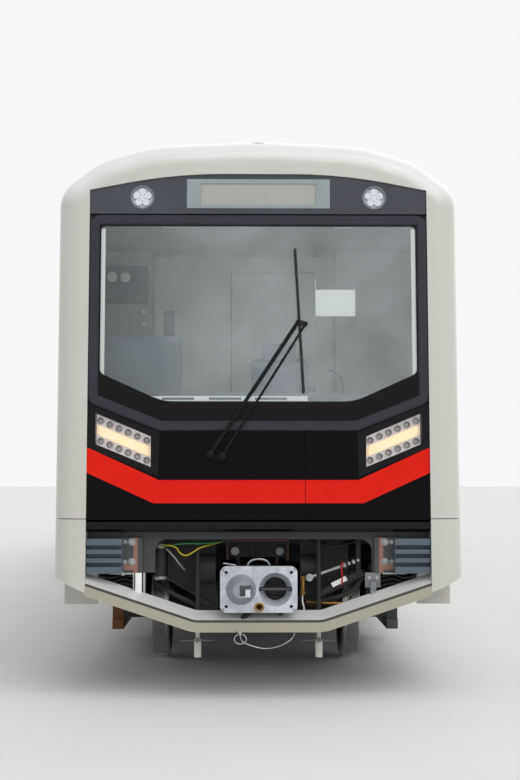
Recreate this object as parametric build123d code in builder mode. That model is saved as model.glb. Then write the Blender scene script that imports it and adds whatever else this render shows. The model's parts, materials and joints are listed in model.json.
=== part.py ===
from build123d import *
import math
import os

os.makedirs("parts", exist_ok=True)

# Leading car of a metro train, in millimetres. The nose looks along -Y and +Z is up.
# Sizes named height are above the rail's top. up() turns one into z, as the flanges stand on z = 0.
flange_height = 28.0
seat = 0.3  # gap between pieces that rest on each other
turn_gap = 0.05  # radial gap of a journal or pin in its bore

# Places along the car
coupler_tip_y = -9750.0
nose_y = -9600.0
split_y = -8620.0
bulkhead_y = -7350.0
shell_end_y = 9350.0
gangway_end_y = 9600.0
bar_end_y = 9750.0

# Body shell
body_half = 1360.0
wall = 60.0
sole_height = 950.0
cant_height = 3250.0
crown_height = 3750.0
floor_height = 1130.0
floor_thickness = 60.0
underframe_depth = 200.0
# Roof outline from the wall to the crown: x, height, corner radius
roof_corners = [
    (body_half, 3390.0, 220.0),
    (1080.0, 3600.0, 400.0),
    (720.0, 3715.0, 1200.0),
]
crown_radius = 3000.0

# Raked nose and its black mask; v is measured up the slope from the mask's foot
rake = math.radians(3.5)
foot_height = 1080.0
nose_radius = 160.0
nose_steps = 8
skin = 45.0
pillar_depth = 150.0
seam_height = 1160.0
seam_gap = 4.0
mask_half = 1143.0
mask_side_v = 2308.0
mask_top_v = 2420.0
mask_kink_x = 560.0
mask_kink_radius = 3500.0
mask_recess = 12.0
panel_thickness = 25.0
lip_v = 74.0
panel_seam_x = 311.0

# Windscreen and the moulded rib round it
rib_width = 68.0
rib_rise = 12.0
rib_bevel = 9.0
rib_corner = 38.0
screen_top_v = 2100.0
screen_side_v = 880.0
screen_bottom_v = 700.0
screen_kink_x = 657.0
glass_thickness = 12.0

# Lamps and display
lamp_depth = 110.0
# Headlamp unit and its lens on the right side, from the outer top corner round: x, v
lamp_outer_x = mask_half - seat
headlamp_corners = [(lamp_outer_x, 852.0), (660.0, 655.0), (668.0, 359.0), (lamp_outer_x, 557.0)]
lens_corners = [(1089.0, 788.0), (719.0, 629.0), (717.0, 425.0), (1087.0, 578.0)]
lens_thickness = 6.0
led_radius = 24.0
led_count = 6
roof_lamp_x = 788.0
roof_lamp_v = 2259.0
roof_lamp_radius = 80.0
display_half = 486.0
display_low_v = 2184.0
display_high_v = 2386.0
screen_half = 391.0
screen_low_v = 2205.0
screen_high_v = 2355.0

# Wiper: points are x, v on the mask
wiper_pivot = (-323.0, 504.0)
wiper_second = (-244.0, 491.0)
wiper_top = (266.0, 1400.0)
wiper_second_top = (316.0, 1386.0)
blade_high = (247.0, 1893.0)
blade_low = (301.0, 926.0)
wiper_foot_half = 38.0
arm_back = 16.0  # how far the arms' backs stand out from the mask plane
arm_thickness = 14.0
arm_half = 12.0
link_half = 7.0
boss_radius = 22.0
spindle_radius = 8.0
blade_pin_radius = 5.0
blade_back = 4.0  # how far the blade's back stands out from the mask plane
blade_gap = 2.0
blade_half = 9.0

# Lower front
corner_low_height = 675.0
corner_rise = 110.0
corner_end_y = -9000.0
apron_end_height = 655.0
apron_low_height = 418.0
apron_kink_x = 435.0
apron_kink_radius = 260.0
apron_depth = 120.0
apron_tall = 133.0
apron_fascia = 62.0
apron_groove = 18.0
apron_groove_depth = 14.0
apron_skin = 22.0
apron_face_y = -9625.0
# Release cable under the apron: x, y, height of each point of its route
cable_route = [
    (-124.0, -9636.0, 411.0),
    (-123.0, -9636.0, 378.0),
    (-100.0, -9636.0, 352.0),
    (-58.0, -9635.0, 335.0),
    (-6.0, -9634.0, 319.0),
    (48.0, -9633.0, 312.0),
    (100.0, -9632.0, 318.0),
    (148.0, -9629.0, 332.0),
    (190.0, -9622.0, 354.0),
    (220.0, -9608.0, 374.0),
    (236.0, -9588.0, 398.0),
    (236.0, -9588.0, 434.0),
]
cable_radius = 3.5
headstock_y = -9480.0
headstock_plate = 40.0
headstock_low = 800.0
headstock_gap_left = 690.0
headstock_gap_right = 760.0
headstock_gap_top = 1020.0
anticlimber_inner = 905.0
anticlimber_low = 800.0
anticlimber_high = 1028.0
anticlimber_depth = 110.0
anticlimber_ribs = 4
groove_height = 30.0
groove_root = 14.0
groove_depth = 45.0
mount_plate_inner = 775.0

# Coupler
coupler_height = 700.0
coupler_face_y = -9650.0
coupler_plate = 40.0
coupler_half = 254.0
coupler_tall = 303.0
coupler_pivot_y = -8800.0
cone_x = -117.0
cone_root_radius = 107.0
cone_tip_radius = 50.0
funnel_x = 110.0
funnel_radius = 110.0
shank_radius = 75.0
pivot_pin_radius = 40.0
eye_radius = 95.0
eye_tall = 150.0

# Side openings
door_centres = [-5300.0, 800.0, 6900.0]
door_width = 1400.0
door_tall = 1960.0
leaf_gap = 8.0
leaf_recess = 8.0
leaf_chamfer = 6.0
leaf_window_width = 430.0
leaf_window_low = 1760.0
leaf_window_high = 2900.0
# Saloon windows on each side: centre along the car, width
windows = [
    (-6650.0, 900.0),
    (-3350.0, 1900.0),
    (-1150.0, 1900.0),
    (2750.0, 1900.0),
    (4950.0, 1900.0),
    (8450.0, 1300.0),
]
window_low = 1950.0
window_high = 2960.0
window_radius = 90.0
pane_thickness = 10.0
cab_door_hinge_y = -7825.0
cab_door_width = 650.0
cab_door_tall = 1920.0
cab_door_front_gap = 12.0
cab_door_gap = 6.0
cab_door_thickness = 50.0
hinge_setback = 18.0
hinge_pin_radius = 8.0
knuckle_radius = 14.0
# Cab door hinges: height of the knuckle's middle
hinge_heights = [1350.0, 2100.0, 2850.0]
knuckle_tall = 90.0
cab_glass_low = 1950.0
cab_glass_high = 2900.0
cab_glass_width = 440.0

# Rear end
passage_half = 650.0
passage_tall = 1950.0
gangway_wall = 110.0
fold_count = 6

# Bogies
bogie_centres = {"front": -6300.0, "rear": 6300.0}
wheelbase = 2200.0
wheel_radius = 430.0
back_to_back = 1360.0
rim_width = 135.0
flange_width = 32.0
axle_radius = 85.0
journal_radius = 65.0
axle_half = 1055.0
axlebox_inner = 875.0
axlebox_outer = 1060.0
axlebox_half = 135.0
beam_inner = 900.0
beam_outer = 1060.0
transom_y = 300.0
transom_radius = 85.0
transom_height = 485.0
pivot_radius = 100.0
air_spring_radius = 250.0
motor_radius = 190.0
motor_y = 620.0
gearbox_inner = 300.0
gearbox_outer = 480.0


def up(height):
    return flange_height + height


def block(x, y, z, mode=Mode.ADD):
    # A box from (low, high) pairs along each axis.
    with Locations(((x[0] + x[1]) / 2, (y[0] + y[1]) / 2, (z[0] + z[1]) / 2)):
        Box(x[1] - x[0], y[1] - y[0], z[1] - z[0], mode=mode)


def outline(plane, points, radius=0.0):
    # A closed face through points, its corners rounded where a radius is given.
    with BuildSketch(plane) as face:
        with BuildLine():
            if radius:
                FilletPolyline(*points, radius=radius, close=True)
            else:
                Polyline(*points, close=True)
        make_face()
    return face.sketch


def across(y):
    # A plane across the car at y: x to the right, y upwards, its normal towards the nose.
    return Plane.XZ.offset(-y)


def mask_plane(depth=0.0):
    # The mask's raked plane, moved depth behind its face: x across, y up the slope, z outwards.
    normal = (0, -math.cos(rake), math.sin(rake))
    return Plane(origin=(0, nose_y, up(foot_height)), x_dir=(1, 0, 0), z_dir=normal).offset(-depth)


def shell_outline(plane, lift, low, inset):
    # The car's outline on a plane, from the height low up, moved inwards by inset. lift turns a
    # height into the plane's second coordinate.
    right = [(x, lift(height)) for x, height, _ in roof_corners]
    left = [(-x, place) for x, place in reversed(right)]
    foot = lift(low) - inset
    points = [(body_half, foot), *right, (0, lift(crown_height)), *left, (-body_half, foot)]
    radii = [radius for _, _, radius in roof_corners]
    with BuildSketch(plane) as face:
        with BuildLine():
            FilletPolyline(*points, radius=[0, *radii, crown_radius, *reversed(radii), 0], close=True)
        make_face()
        if inset:
            offset(amount=-inset)
    return face.sketch


def section(y, inset=0.0, low=sole_height):
    # The car's cross-section at y.
    return shell_outline(across(y), up, low, inset)


def raked_section(depth, inset):
    # The same outline on the mask's plane, moved depth behind its face.
    def slope_place(height):
        return (height - foot_height + depth * math.sin(rake)) / math.cos(rake)

    return shell_outline(mask_plane(depth), slope_place, corner_low_height, inset)


def screen_outline(plane, grow):
    # The rib's centre line, grown or shrunk by grow, as a face.
    half = mask_half - 0.5 - rib_width / 2
    points = [
        (-half, screen_top_v),
        (-half, screen_side_v),
        (-screen_kink_x, screen_bottom_v),
        (screen_kink_x, screen_bottom_v),
        (half, screen_side_v),
        (half, screen_top_v),
    ]
    with BuildSketch(plane) as face:
        with BuildLine():
            FilletPolyline(*points, radius=rib_corner, close=True)
        make_face()
        offset(amount=grow)
    return face.sketch


def nose_form():
    # The solid form of the nose, its front edge rounded in steps from the sides to the raked front.
    with BuildPart() as form:
        add(section(split_y, 0, corner_low_height))
        for step in range(nose_steps + 1):
            turn = math.pi / 2 * step / nose_steps
            add(raked_section(nose_radius * (1 - math.sin(turn)), nose_radius * (1 - math.cos(turn))))
        loft(ruled=True)
    return form.part


def nose_cavity():
    # What the skin leaves hollow, from the pillars' backs to beyond the nose's rear edge.
    with BuildPart() as cavity:
        rear = split_y + skin
        extrude(section(rear, skin, corner_low_height - 2 * skin), amount=rear - nose_y + 300)
        split(bisect_by=mask_plane(pillar_depth), keep=Keep.BOTTOM)
    return cavity.part


def mask_outline(plane, low_v, gap):
    # The mask's face from low_v up to its curved top edge, smaller by gap at the sides and the top.
    half = mask_half - gap
    points = [
        (-half, low_v),
        (half, low_v),
        (half, mask_side_v - gap),
        (mask_kink_x, mask_top_v - gap),
        (-mask_kink_x, mask_top_v - gap),
        (-half, mask_side_v - gap),
    ]
    with BuildSketch(plane) as face:
        with BuildLine():
            radii = [0, 0, 0, mask_kink_radius, mask_kink_radius, 0]
            FilletPolyline(*points, radius=radii, close=True)
        make_face()
    return face.sketch


def mask_opening():
    # The opening between the pillars, right through the front.
    with BuildPart() as opening:
        extrude(mask_outline(mask_plane(-60), -600, 0), amount=-pillar_depth - 150)
    return opening.part


def mirrored(points):
    return [(-x, y) for x, y in points]


def along(start, end, share):
    return (start[0] + (end[0] - start[0]) * share, start[1] + (end[1] - start[1]) * share)


def bar_face(plane, start, end, half):
    # A bar's outline from start to end with round ends.
    middle = along(start, end, 0.5)
    length = math.hypot(end[0] - start[0], end[1] - start[1])
    turn = math.degrees(math.atan2(end[1] - start[1], end[0] - start[0]))
    with BuildSketch(plane) as face:
        with Locations(middle):
            SlotCenterToCenter(length, 2 * half, rotation=turn)
    return face.sketch


shell_reach = (-body_half - 20, body_half + 20)

# Underframe: floor, side sills, cross members, bolsters and the two pivot posts
floor_low = floor_height - floor_thickness
frame_low = floor_height - underframe_depth
floor_half = body_half - wall - seat
underframe_y = headstock_y + headstock_plate + seat
sill_width = 120.0
member_width = 80.0
member_pitch = 1150.0
member_count = 8
end_member_y = 8350.0
bolster_half = 330.0
post_low = 430.0
with BuildPart() as underframe:
    frame_end_y = shell_end_y - wall - seat
    block((-floor_half, floor_half), (underframe_y, frame_end_y), (up(floor_low), up(floor_height)))
    for side in (-1, 1):
        inner, outer = sorted((side * (floor_half - sill_width), side * floor_half))
        block((inner, outer), (corner_end_y, frame_end_y), (up(frame_low), up(floor_low)))
    sill_inner = floor_half - sill_width
    member_z = (up(frame_low), up(floor_low))
    middle_members = [(step - (member_count - 1) / 2) * member_pitch for step in range(member_count)]
    for member_y in (*middle_members, -end_member_y, end_member_y):
        block((-sill_inner, sill_inner), (member_y, member_y + member_width), member_z)
    for centre in bogie_centres.values():
        block((-sill_inner, sill_inner), (centre - bolster_half, centre + bolster_half), member_z)
        with BuildSketch(Plane.XY.offset(up(post_low))):
            with Locations((0, centre)):
                Circle(pivot_radius)
        extrude(amount=frame_low - post_low)
underframe.part.label = "underframe"
export_step(underframe.part, "parts/underframe.step")

# Side walls, with their door and window openings, and the cab door's hinge pins
wall_inner = body_half - wall
door_low = floor_height
cab_door_front_y = cab_door_hinge_y - cab_door_width
hinge_x = wall_inner - hinge_setback
for side_name, side in (("left", -1), ("right", 1)):
    with BuildPart() as side_wall:
        with BuildSketch(Plane.YZ.offset(wall_inner if side > 0 else -body_half)):
            with Locations(((split_y + shell_end_y) / 2, up((sole_height + cant_height) / 2))):
                Rectangle(shell_end_y - split_y, cant_height - sole_height)
            for centre in door_centres:
                with Locations((centre, up(door_low + door_tall / 2))):
                    Rectangle(door_width, door_tall, mode=Mode.SUBTRACT)
            for centre, width in windows:
                with Locations((centre, up((window_low + window_high) / 2))):
                    RectangleRounded(width, window_high - window_low, window_radius, mode=Mode.SUBTRACT)
            with Locations((cab_door_hinge_y - cab_door_width / 2, up(door_low + cab_door_tall / 2))):
                Rectangle(cab_door_width, cab_door_tall, mode=Mode.SUBTRACT)
        extrude(amount=wall)
        for height in hinge_heights:
            lug_low = height - knuckle_tall / 2 - 30
            lug_x = sorted((side * (hinge_x - knuckle_radius), side * wall_inner))
            for low in (lug_low, height + knuckle_tall / 2 + 5):
                block(lug_x, (cab_door_hinge_y + 2, cab_door_hinge_y + 30), (up(low), up(low + 25)))
                with Locations((side * hinge_x, cab_door_hinge_y, up(low + 12.5))):
                    Cylinder(knuckle_radius, 25)
            with Locations((side * hinge_x, cab_door_hinge_y, up(height))):
                Cylinder(hinge_pin_radius, knuckle_tall + 20)
    side_wall.part.label = f"side_wall_{side_name}"
    export_step(side_wall.part, f"parts/side_wall_{side_name}.step")

# Roof skin, with a cut-out for each roof unit
unit_half = 800.0
unit_length = 2600.0
unit_centres = [-3300.0, 4300.0]
unit_low = 3440.0
roof_low = cant_height + seat
with BuildPart() as roof:
    extrude(section(shell_end_y, 0, roof_low), amount=shell_end_y - split_y)
    under_roof = section(shell_end_y + 1, wall, roof_low - 1)
    extrude(under_roof, amount=shell_end_y - split_y + 2, mode=Mode.SUBTRACT)
    for centre in unit_centres:
        block(
            (-unit_half, unit_half),
            (centre - unit_length / 2, centre + unit_length / 2),
            (up(unit_low), up(crown_height + 1)),
            mode=Mode.SUBTRACT,
        )
roof.part.label = "roof"
export_step(roof.part, "parts/roof.step")

# Roof units: two air conditioners let into the roof, each with fan openings and side slots
fan_radius = 270.0
fan_depth = 90.0
fan_hub = 70.0
with BuildPart() as roof_units:
    for centre in unit_centres:
        rear = centre + unit_length / 2 - seat
        extrude(section(rear, 0, roof_low), amount=unit_length - 2 * seat)
    unit_reach = (split_y, shell_end_y)
    block(shell_reach, unit_reach, (up(sole_height), up(unit_low + 20)), mode=Mode.SUBTRACT)
    for sign in (-1, 1):
        low, high = sorted((sign * (unit_half - seat), sign * (body_half + 1)))
        block((low, high), unit_reach, (up(unit_low - 1), up(crown_height + 1)), mode=Mode.SUBTRACT)
    for centre in unit_centres:
        for offset_y in (-unit_length / 4, unit_length / 4):
            with Locations((0, centre + offset_y, up(crown_height))):
                Cylinder(fan_radius, 2 * fan_depth, mode=Mode.SUBTRACT)
            with Locations((0, centre + offset_y, up(crown_height - fan_depth + 30))):
                Cylinder(fan_hub, 60)
roof_units.part.label = "roof_units"
export_step(roof_units.part, "parts/roof_units.step")

# Rear end wall with the passage through it
end_face_y = shell_end_y - wall
end_low = floor_height + seat
with BuildPart() as rear_end:
    extrude(section(shell_end_y, wall + seat, end_low - wall - seat), amount=wall)
    block(
        (-passage_half, passage_half),
        (end_face_y - 1, shell_end_y + 1),
        (up(floor_height - 1), up(floor_height + passage_tall)),
        mode=Mode.SUBTRACT,
    )
rear_end.part.label = "rear_end"
export_step(rear_end.part, "parts/rear_end.step")

# Gangway: bellows folds round the passage, ending in a bolted frame
gangway_half = passage_half + gangway_wall
gangway_low = floor_height - gangway_wall
gangway_high = floor_height + passage_tall + gangway_wall
frame_thick = 30.0
fold_pitch = (gangway_end_y - frame_thick - shell_end_y - seat) / fold_count
frame_bolt_radius = 7.0
frame_bolt_x = passage_half + gangway_wall / 2
frame_bolt_low = floor_height + 150.0
frame_bolt_high = floor_height + 1650.0
passage_middle = up(floor_height + passage_tall / 2)
with BuildPart() as gangway:
    for fold in range(fold_count):
        shrink = 0.0 if fold % 2 else 30.0
        with BuildSketch(across(shell_end_y + seat + (fold + 1) * fold_pitch)):
            with Locations((0, passage_middle)):
                fold_tall = passage_tall + 2 * gangway_wall - 2 * shrink
                RectangleRounded(2 * gangway_half - 2 * shrink, fold_tall, 60)
                Rectangle(2 * passage_half, passage_tall, mode=Mode.SUBTRACT)
        extrude(amount=fold_pitch)
    with BuildSketch(across(gangway_end_y)):
        with Locations((0, passage_middle)):
            RectangleRounded(2 * gangway_half, passage_tall + 2 * gangway_wall, 60)
            Rectangle(2 * passage_half, passage_tall, mode=Mode.SUBTRACT)
        for x in (-frame_bolt_x, frame_bolt_x):
            for height in (frame_bolt_low, frame_bolt_high):
                with Locations((x, up(height))):
                    Circle(frame_bolt_radius, mode=Mode.SUBTRACT)
    extrude(amount=frame_thick)
gangway.part.label = "gangway"
export_step(gangway.part, "parts/gangway.step")

# Semi-permanent bar coupler at the rear, under the gangway
bar_radius = 70.0
bar_flange_radius = 150.0
bar_flange_thick = 35.0
bar_bolt_circle = 230.0
bar_bolt_radius = 11.0
bar_bolts = 8
bar_root_y = 8700.0
anchor_half = 170.0
with BuildPart() as rear_coupler:
    with BuildSketch(across(bar_end_y)):
        with Locations((0, up(coupler_height))):
            Circle(bar_flange_radius)
            with PolarLocations(bar_bolt_circle / 2, bar_bolts):
                Circle(bar_bolt_radius, mode=Mode.SUBTRACT)
    extrude(amount=bar_flange_thick)
    with BuildSketch(across(bar_end_y - bar_flange_thick)):
        with Locations((0, up(coupler_height))):
            Circle(bar_radius)
    extrude(amount=bar_end_y - bar_flange_thick - bar_root_y)
    block(
        (-anchor_half, anchor_half),
        (bar_root_y, bar_root_y + 60),
        (up(coupler_height - 130), up(floor_low - seat)),
    )
    with BuildSketch(Plane.YZ.offset(-20)):
        with BuildLine():
            Polyline(
                (bar_root_y + 60, up(floor_low - seat)),
                (bar_root_y + 420, up(floor_low - seat)),
                (bar_root_y + 60, up(coupler_height + 90)),
                close=True,
            )
        make_face()
    extrude(amount=40)
rear_coupler.part.label = "rear_coupler"
export_step(rear_coupler.part, "parts/rear_coupler.step")

# Nose skin: the pillars beside the mask and the roof cap over it
nose = nose_form()
cavity = nose_cavity()
opening = mask_opening()
nose_reach = (nose_y - 100, split_y + 1)
with BuildPart() as front_fairing:
    add(nose)
    add(cavity, mode=Mode.SUBTRACT)
    add(opening, mode=Mode.SUBTRACT)
    block(shell_reach, nose_reach, (0, up(seam_height + seam_gap / 2)), mode=Mode.SUBTRACT)
front_fairing.part.label = "front_fairing"
export_step(front_fairing.part, "parts/front_fairing.step")

# Lower corners: the pillars' feet, cut off on a slope at the bottom
with BuildPart() as lower_corners:
    add(nose)
    add(cavity, mode=Mode.SUBTRACT)
    add(opening, mode=Mode.SUBTRACT)
    over_seam = (up(seam_height - seam_gap / 2), up(crown_height + 1))
    block(shell_reach, nose_reach, over_seam, mode=Mode.SUBTRACT)
    block(shell_reach, (corner_end_y, split_y + 1), (0, up(sole_height)), mode=Mode.SUBTRACT)
    for sign in (-1, 1):
        points = [
            (sign * (mask_half - 50), up(corner_low_height - 100)),
            (sign * (mask_half - 50), up(corner_low_height - 25)),
            (sign * (body_half + 20), up(corner_low_height + corner_rise)),
            (sign * (body_half + 20), up(corner_low_height - 100)),
        ]
        extrude(outline(across(split_y + 1), points), amount=1200, mode=Mode.SUBTRACT)
lower_corners.part.label = "lower_corners"
export_step(lower_corners.part, "parts/lower_corners.step")

# Upper black panel with openings for the display and the round lamps
panel_face = mask_plane(mask_recess)
upper_low_v = screen_top_v + rib_width / 2 + seat
with BuildPart() as upper_panel:
    extrude(mask_outline(panel_face, upper_low_v, seat), amount=-panel_thickness)
    with BuildSketch(panel_face):
        with Locations((0, (display_low_v + display_high_v) / 2)):
            Rectangle(2 * display_half, display_high_v - display_low_v)
        with Locations((-roof_lamp_x, roof_lamp_v), (roof_lamp_x, roof_lamp_v)):
            Circle(roof_lamp_radius + seat)
    extrude(amount=-panel_thickness, mode=Mode.SUBTRACT)
upper_panel.part.label = "upper_panel"
export_step(upper_panel.part, "parts/upper_panel.step")

# Destination display: its housing with a glazed recess, and the pale matrix inside
display_depth = 90.0
screen_depth = 14.0
matrix_thickness = 8.0
display_middle = (0, (display_low_v + display_high_v) / 2)
screen_middle = (0, (screen_low_v + screen_high_v) / 2)
with BuildPart() as destination_display:
    with BuildSketch(panel_face):
        with Locations(display_middle):
            Rectangle(2 * (display_half - seat), display_high_v - display_low_v - 2 * seat)
    extrude(amount=-display_depth)
    with BuildSketch(panel_face):
        with Locations(screen_middle):
            Rectangle(2 * screen_half, screen_high_v - screen_low_v)
    extrude(amount=-screen_depth, mode=Mode.SUBTRACT)
destination_display.part.label = "destination_display"
export_step(destination_display.part, "parts/destination_display.step")
with BuildPart() as display_matrix:
    with BuildSketch(mask_plane(mask_recess + screen_depth - seat)):
        with Locations(screen_middle):
            Rectangle(2 * (screen_half - seat), screen_high_v - screen_low_v - 2 * seat)
    extrude(amount=matrix_thickness)
display_matrix.part.label = "display_matrix"
export_step(display_matrix.part, "parts/display_matrix.step")

# Round lamps beside the display: a dish with a ring of lobes round a boss, one lobe at the top
lobe_count = 5
lobe_orbit = 41.0
lobe_radius = 24.0
boss_half = 20.0
dish_depth = 18.0
dish_rim = 9.0
with BuildPart() as roof_lamps:
    for sign in (-1, 1):
        with BuildSketch(panel_face):
            with Locations((sign * roof_lamp_x, roof_lamp_v)):
                Circle(roof_lamp_radius)
        extrude(amount=-panel_thickness - 40)
        with BuildSketch(panel_face):
            with Locations((sign * roof_lamp_x, roof_lamp_v)):
                Circle(roof_lamp_radius - dish_rim)
        extrude(amount=-dish_depth, mode=Mode.SUBTRACT)
        with BuildSketch(mask_plane(mask_recess + dish_depth)):
            with Locations((sign * roof_lamp_x, roof_lamp_v)):
                Circle(boss_half)
                with PolarLocations(lobe_orbit, lobe_count, start_angle=90):
                    Circle(lobe_radius)
        extrude(amount=dish_depth - 6)
roof_lamps.part.label = "roof_lamps"
export_step(roof_lamps.part, "parts/roof_lamps.step")

# Mask mouldings: the rib round the windscreen, proud of the panels, and the lip under them
lip_depth = 60.0
lip_bevel = 14.0
rib_face = mask_recess - rib_rise
rib_depth = rib_rise + panel_thickness
with BuildPart() as mask_mouldings:
    extrude(screen_outline(mask_plane(rib_face), rib_width / 2), amount=-rib_depth)
    extrude(screen_outline(mask_plane(rib_face), -rib_width / 2), amount=-rib_depth, mode=Mode.SUBTRACT)
    front_edges = mask_mouldings.faces().sort_by(Axis((0, 0, 0), mask_plane().z_dir))[-1].edges()
    chamfer(front_edges, length=rib_bevel)
    lip_half = mask_half - seat
    low_face = mask_recess + 6
    # Lip's section at one end: depth behind the mask plane, v
    lip_section = [
        (low_face + lip_depth, 0),
        (low_face + lip_depth, lip_v),
        (low_face + lip_bevel, lip_v),
        (low_face, lip_v - lip_bevel),
        (low_face, lip_bevel),
        (low_face + lip_bevel, 0),
    ]
    slope = (0, math.sin(rake), math.cos(rake))
    lip_plane = Plane(origin=(-lip_half, nose_y, up(foot_height)), x_dir=slope, z_dir=(1, 0, 0))
    extrude(outline(lip_plane, [(v, -depth) for depth, v in lip_section]), amount=2 * lip_half)
mask_mouldings.part.label = "mask_mouldings"
export_step(mask_mouldings.part, "parts/mask_mouldings.step")

# Windscreen pane inside the rib
with BuildPart() as windscreen:
    extrude(screen_outline(mask_plane(mask_recess - 2), -rib_width / 2 - seat), amount=-glass_thickness)
windscreen.part.label = "windscreen"
export_step(windscreen.part, "parts/windscreen.step")

# Lower black panels, parted by one upright seam, with the headlamps' openings and the wiper's foot
panel_low_v = lip_v + seat
panel_top_v = 884.0
# Lower panels: left edge, right edge
lower_panel_edges = [
    (-mask_half + seat, panel_seam_x - seam_gap / 2),
    (panel_seam_x + seam_gap / 2, mask_half - seat),
]
with BuildPart() as lower_panels:
    for left, right in lower_panel_edges:
        panel = [(left, panel_low_v), (right, panel_low_v), (right, panel_top_v), (left, panel_top_v)]
        extrude(outline(panel_face, panel), amount=-panel_thickness)
    extrude(screen_outline(mask_plane(-20), rib_width / 2 + seat), amount=-100, mode=Mode.SUBTRACT)
    for lamp in (headlamp_corners, mirrored(headlamp_corners)):
        with BuildSketch(panel_face):
            with BuildLine():
                Polyline(*lamp, close=True)
            make_face()
            offset(amount=seat, kind=Kind.INTERSECTION)
        extrude(amount=-panel_thickness, mode=Mode.SUBTRACT)
    foot_thickness = mask_recess - seat + arm_back - blade_gap
    wiper_foot = bar_face(mask_plane(mask_recess - seat), wiper_pivot, wiper_second, wiper_foot_half)
    extrude(wiper_foot, amount=foot_thickness)
    with BuildSketch(mask_plane(blade_gap - arm_back)):
        with Locations(wiper_pivot, wiper_second):
            Circle(spindle_radius)
    extrude(amount=blade_gap + arm_thickness - 2)
lower_panels.part.label = "lower_panels"
export_step(lower_panels.part, "parts/lower_panels.step")

# Headlamps: housings, rows of light-emitting cups with a bar between them, and lenses
pocket_depth = 60.0
led_depth = 26.0


def lamp_row(lamp, share):
    # Centres of a row of cups, share of the way down from the lens's top edge.
    top_outer, top_inner, low_inner, low_outer = lamp
    outer = along(top_outer, low_outer, share)
    inner = along(top_inner, low_inner, share)
    return [along(outer, inner, (cup + 0.5) / led_count) for cup in range(led_count)]


lamp_pairs = [(headlamp_corners, lens_corners), (mirrored(headlamp_corners), mirrored(lens_corners))]
with BuildPart() as headlamps:
    for lamp, lens in lamp_pairs:
        extrude(outline(panel_face, lamp), amount=-lamp_depth)
        extrude(outline(panel_face, lens), amount=-pocket_depth, mode=Mode.SUBTRACT)
headlamps.part.label = "headlamps"
export_step(headlamps.part, "parts/headlamps.step")
with BuildPart() as headlamp_lights:
    for lens in (lens_corners, mirrored(lens_corners)):
        floor_plane = mask_plane(mask_recess + pocket_depth - seat)
        top_outer, top_inner, low_inner, low_outer = lens
        edges = [(along(top_outer, low_outer, s), along(top_inner, low_inner, s)) for s in (0.36, 0.66)]
        (upper_start, upper_end), (lower_start, lower_end) = edges
        bar = [
            along(upper_start, upper_end, 0.06),
            along(upper_start, upper_end, 0.94),
            along(lower_start, lower_end, 0.94),
            along(lower_start, lower_end, 0.06),
        ]
        extrude(outline(floor_plane, bar), amount=led_depth)
        for share in (0.18, 0.83):
            with BuildSketch(floor_plane):
                with Locations(*lamp_row(lens, share)):
                    Circle(led_radius)
            extrude(amount=led_depth)
            with BuildSketch(mask_plane(mask_recess + pocket_depth - seat - led_depth)):
                with Locations(*lamp_row(lens, share)):
                    Circle(led_radius - 4)
            extrude(amount=-led_depth + 8, taper=20, mode=Mode.SUBTRACT)
headlamp_lights.part.label = "headlamp_lights"
export_step(headlamp_lights.part, "parts/headlamp_lights.step")
with BuildPart() as headlamp_lenses:
    for lens in (lens_corners, mirrored(lens_corners)):
        with BuildSketch(mask_plane(mask_recess + 1)):
            with BuildLine():
                Polyline(*lens, close=True)
            make_face()
            offset(amount=-seat, kind=Kind.INTERSECTION)
        extrude(amount=-lens_thickness)
headlamp_lenses.part.label = "headlamp_lenses"
export_step(headlamp_lenses.part, "parts/headlamp_lenses.step")

# Apron: a bent bumper beam with a sloped top, a groove and an upright fascia
with BuildPart() as apron:
    kink_rise = (apron_end_height - apron_low_height) / (mask_half - apron_kink_x)
    reach = mask_half + 80
    start = (-reach, up(apron_end_height + 80 * kink_rise))
    with BuildLine(across(apron_face_y)) as apron_path:
        FilletPolyline(
            start,
            (-apron_kink_x, up(apron_low_height)),
            (apron_kink_x, up(apron_low_height)),
            (reach, start[1]),
            radius=apron_kink_radius,
        )
    run = Vector(1, 0, -kink_rise).normalized()
    with BuildSketch(Plane(origin=(start[0], apron_face_y, start[1]), x_dir=(0, 1, 0), z_dir=run)):
        with BuildLine():
            groove_top = apron_fascia + apron_groove
            Polyline(
                (0, 0),
                (0, apron_fascia),
                (apron_groove_depth, apron_fascia),
                (apron_groove_depth, groove_top),
                (4, groove_top),
                (apron_depth, apron_tall),
                (apron_depth, apron_tall - apron_skin),
                (apron_groove_depth + apron_skin, groove_top - 5),
                (apron_skin, apron_fascia - apron_skin),
                (apron_skin, 0),
                close=True,
            )
        make_face()
    sweep(path=apron_path.wires()[0])
    for sign in (-1, 1):
        low, high = sorted((sign * (mask_half - seat), sign * (reach + 200)))
        block((low, high), (nose_y - 200, nose_y + 300), (0, up(1100)), mode=Mode.SUBTRACT)
    clamp_half = 11.0
    first_x, first_y, first_height = cable_route[0]
    clamp_y = (first_y - clamp_half, apron_face_y)
    block((first_x - clamp_half, first_x + clamp_half), clamp_y, (up(first_height), up(first_height + 28)))
    last_x, last_y, last_height = cable_route[-1]
    clamp_y = (apron_face_y + apron_skin, last_y + clamp_half)
    block((last_x - clamp_half, last_x + clamp_half), clamp_y, (up(last_height), up(last_height + 22)))
apron.part.label = "apron"
export_step(apron.part, "parts/apron.step")

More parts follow.
